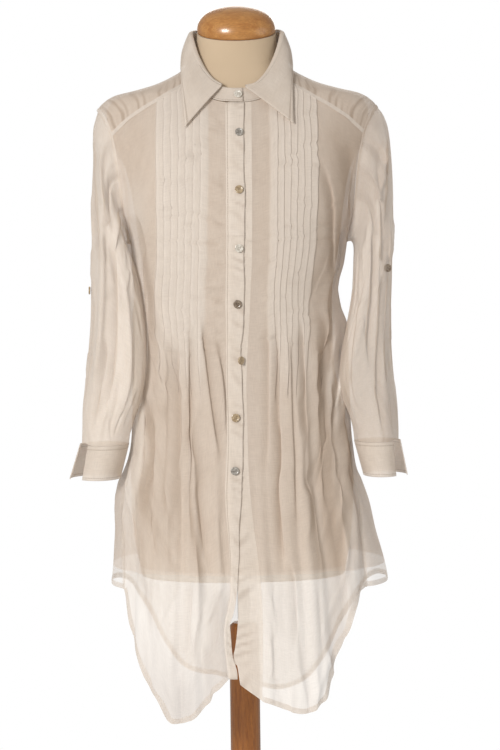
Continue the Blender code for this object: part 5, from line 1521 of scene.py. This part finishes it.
pearl_white = pearl_material("pearl_white", (0.80, 0.77, 0.70), (0.50, 0.46, 0.40))
pearl_grey = pearl_material("pearl_grey", (0.48, 0.46, 0.42), (0.20, 0.18, 0.16))
pearl_gold = pearl_material("pearl_gold", (0.56, 0.45, 0.30), (0.30, 0.21, 0.12))
pearl_brown = pearl_material("pearl_brown", (0.32, 0.26, 0.20), (0.13, 0.09, 0.06))
BUTTON_FINISH = {
    "button_1": pearl_white, "button_2": pearl_grey, "button_3": pearl_gold, "button_4": pearl_white,
    "button_5": pearl_brown, "button_6": pearl_gold, "button_7": pearl_gold, "button_8": pearl_grey,
    "sleeve_button_left": pearl_brown, "sleeve_button_right": pearl_gold,
}

# %% A button in every place
pattern = model_button()
for node, finish in BUTTON_FINISH.items():
    corners = np.array([v.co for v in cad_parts[node].data.vertices], float)
    middle = corners.mean(0)
    axis = np.linalg.svd(corners - middle)[2][2]
    if axis @ (middle * [1, 1, 0]) < 0:
        axis = -axis
    facing = Vector(axis).to_track_quat("Z", "Y").to_matrix().to_4x4()
    piece = pattern.copy()
    piece.data = pattern.data.copy()
    piece.name = piece.data.name = node + "_shell"
    bpy.context.scene.collection.objects.link(piece)
    piece.data.transform(Matrix.Translation(Vector(middle)) @ facing)
    finish_piece(piece, finish, "shell_button", node)
bpy.data.objects.remove(pattern)

# %% [markdown]
# ## Dress form and stand
#
# The form is a hard torso under a tight cream jersey. Its neck leans forward and ends in a turned wooden
# cap; a steel rod joins it to a turned wooden pole on a round foot.


# %% Jersey, tape, wood and steel
def jersey_material(name, colour, shade):
    """Knitted cotton: fine ribs and a soft change of tone."""
    made, tree, shader = new_material(
        name, Roughness=0.8, Sheen_Weight=0.3, Sheen_Roughness=0.4, Specular_IOR_Level=0.25
    )
    place = add_node(tree, "TexCoord").outputs
    knit = {"Vector": place["UV"], "Scale": 380.0, "Distortion": 1.0, "Detail": 1.0}
    ribs = add_node(tree, "TexWave", knit).outputs["Fac"]
    tint = ramp(tree, noise(tree, place["Object"], 9.0, 3.0), 0.3, shade, 0.7, colour)
    tree.links.new(tint, shader.inputs["Base Color"])
    tree.links.new(bump_node(tree, ribs, 0.3, 0.0002), shader.inputs["Normal"])
    return made


def wood_material(name, light, dark, stretch, rough):
    """Turned wood: rings of grain, stretched along the grain, under varnish."""
    made, tree, shader = new_material(name, Roughness=rough, Coat_Weight=0.6, Coat_Roughness=0.15)
    place = stretched(tree, add_node(tree, "TexCoord").outputs["Object"], stretch)
    grain = noise(tree, place, 18.0, 6.0, Distortion=1.2)
    pores = noise(tree, place, 160.0, 2.0)
    fleck = map_range(tree, pores, 0.3, 0.7, 0.82, 1.1)
    tint = mix_colours(tree, 1.0, ramp(tree, grain, 0.32, dark, 0.68, light), fleck, "MULTIPLY")
    tree.links.new(tint, shader.inputs["Base Color"])
    tree.links.new(bump_node(tree, pores, 0.15, 0.0003), shader.inputs["Normal"])
    return made


def steel_material(name, light, dark):
    """Steel with fine marks round it."""
    made, tree, shader = new_material(name, Metallic=1.0, Roughness=0.38)
    place = stretched(tree, add_node(tree, "TexCoord").outputs["Object"], (1, 1, 60))
    tint = ramp(tree, noise(tree, place, 40.0, 3.0), 0.0, dark, 1.0, light)
    tree.links.new(tint, shader.inputs["Base Color"])
    return made


jersey = jersey_material("cream_jersey", (0.67, 0.535, 0.385), (0.61, 0.48, 0.335))
tape = jersey_material("white_tape", (0.93, 0.88, 0.80), (0.88, 0.82, 0.73))
honey_wood = wood_material("honey_wood", (0.58, 0.285, 0.085), (0.42, 0.175, 0.045), (1.0, 5.0, 5.0), 0.30)
red_wood = wood_material("red_wood", (0.40, 0.150, 0.028), (0.25, 0.080, 0.014), (6.0, 6.0, 0.7), 0.35)
rod_steel = steel_material("brushed_rod", (0.42, 0.40, 0.37), (0.20, 0.19, 0.18))

# %% The torso
NECK_TILT, NECK_TILT_FROM, NECK_AXIS_Y = math.tan(math.radians(20)), 1.420, 0.0085
FORM_STEPS = 112
SHARP_EDGE = math.radians(50)
BINDING_TOP, BINDING_BOTTOM, BINDING_THICK = 0.714, 0.701, 0.0006


def form_rings(heights, off=0.0):
    """The form's rings, the neck's leaning forward, in the order that turns to the wearer's left."""
    angles = np.linspace(0, FULL_TURN, FORM_STEPS, endpoint=False)
    heights = np.asarray(heights)[:, None]
    rings = figure_point(FORM, angles, heights)
    if off:
        rings = rings + figure_normal(FORM, angles, heights) * off
    lean = NECK_TILT * ease(heights, NECK_TILT_FROM, FORM["height"][-1])
    rings[..., 2] += lean * (rings[..., 1] - NECK_AXIS_Y)
    return rings


form_heights = glide(FORM["height"][None, :, None], places([6] * (len(FORM["height"]) - 1)))[0, ::-1, 0]
rings = form_rings(form_heights)
torso = cut_cloth("form_torso_jersey", rings, wraps=True)
edit_mesh(torso, bpy.ops.mesh.fill_holes, sides=0)
torso.data.set_sharp_from_angle(angle=SHARP_EDGE)
finish_piece(torso, jersey, "form_canvas", "form_torso")
binding_rings = form_rings(np.linspace(BINDING_TOP, BINDING_BOTTOM, 6), BINDING_THICK)
binding = cut_cloth("form_bottom_binding", binding_rings, wraps=True)
finish_piece(binding, tape, "form_canvas")

# %% The neck cap
CAP_HEIGHT, CAP_FOOT = 0.038, 0.97
# The turned outline: share of the neck's width, share of the cap's height
CAP_OUTLINE = (
    (0.99, 0.03), (1.0, 0.10), (0.998, 0.20), (0.985, 0.30), (0.955, 0.42), (0.90, 0.55), (0.82, 0.68),
    (0.72, 0.78), (0.58, 0.87), (0.42, 0.94), (0.22, 0.985), (0.08, 1.0),
)
top = rings[0]
centre = top.mean(0)
tilt = math.atan(NECK_TILT)
up = np.array([0, -math.sin(tilt), math.cos(tilt)])
bpy.ops.mesh.primitive_circle_add(vertices=FORM_STEPS, radius=1, fill_type="NGON")
cap = bpy.context.object
cap.name = cap.data.name = "form_neck_cap_turned"
order = np.argsort([math.atan2(v.co.x, -v.co.y) % FULL_TURN for v in cap.data.vertices])
for place, index in enumerate(order):
    cap.data.vertices[index].co = centre + (top[place] - centre) * CAP_FOOT + up * LAP_GAP
select_faces(cap.data, lambda f: True)
size, high = CAP_FOOT, 0.0
for share, rise in CAP_OUTLINE:
    step = Vector(up) * ((rise - high) * CAP_HEIGHT)
    bpy.ops.mesh.extrude_region_move(TRANSFORM_OT_translate={"value": step})
    middle = centre + up * (LAP_GAP + rise * CAP_HEIGHT)
    bpy.ops.transform.resize(value=(share / size,) * 3, center_override=Vector(middle))
    size, high = share, rise
bpy.ops.object.mode_set(mode="OBJECT")
edit_mesh(cap, bpy.ops.mesh.normals_make_consistent, inside=False)
cap.data.shade_smooth()
cap.data.set_sharp_from_angle(angle=SHARP_EDGE)
finish_piece(cap, honey_wood, "cap_wood", "form_neck_cap")

# %% The stand keeps its solids, with better finishes
for node, finish in (("form_rod", rod_steel), ("form_pole", red_wood), ("form_base", red_wood)):
    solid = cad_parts[node]
    solid.data.materials.clear()
    solid.data.materials.append(finish)
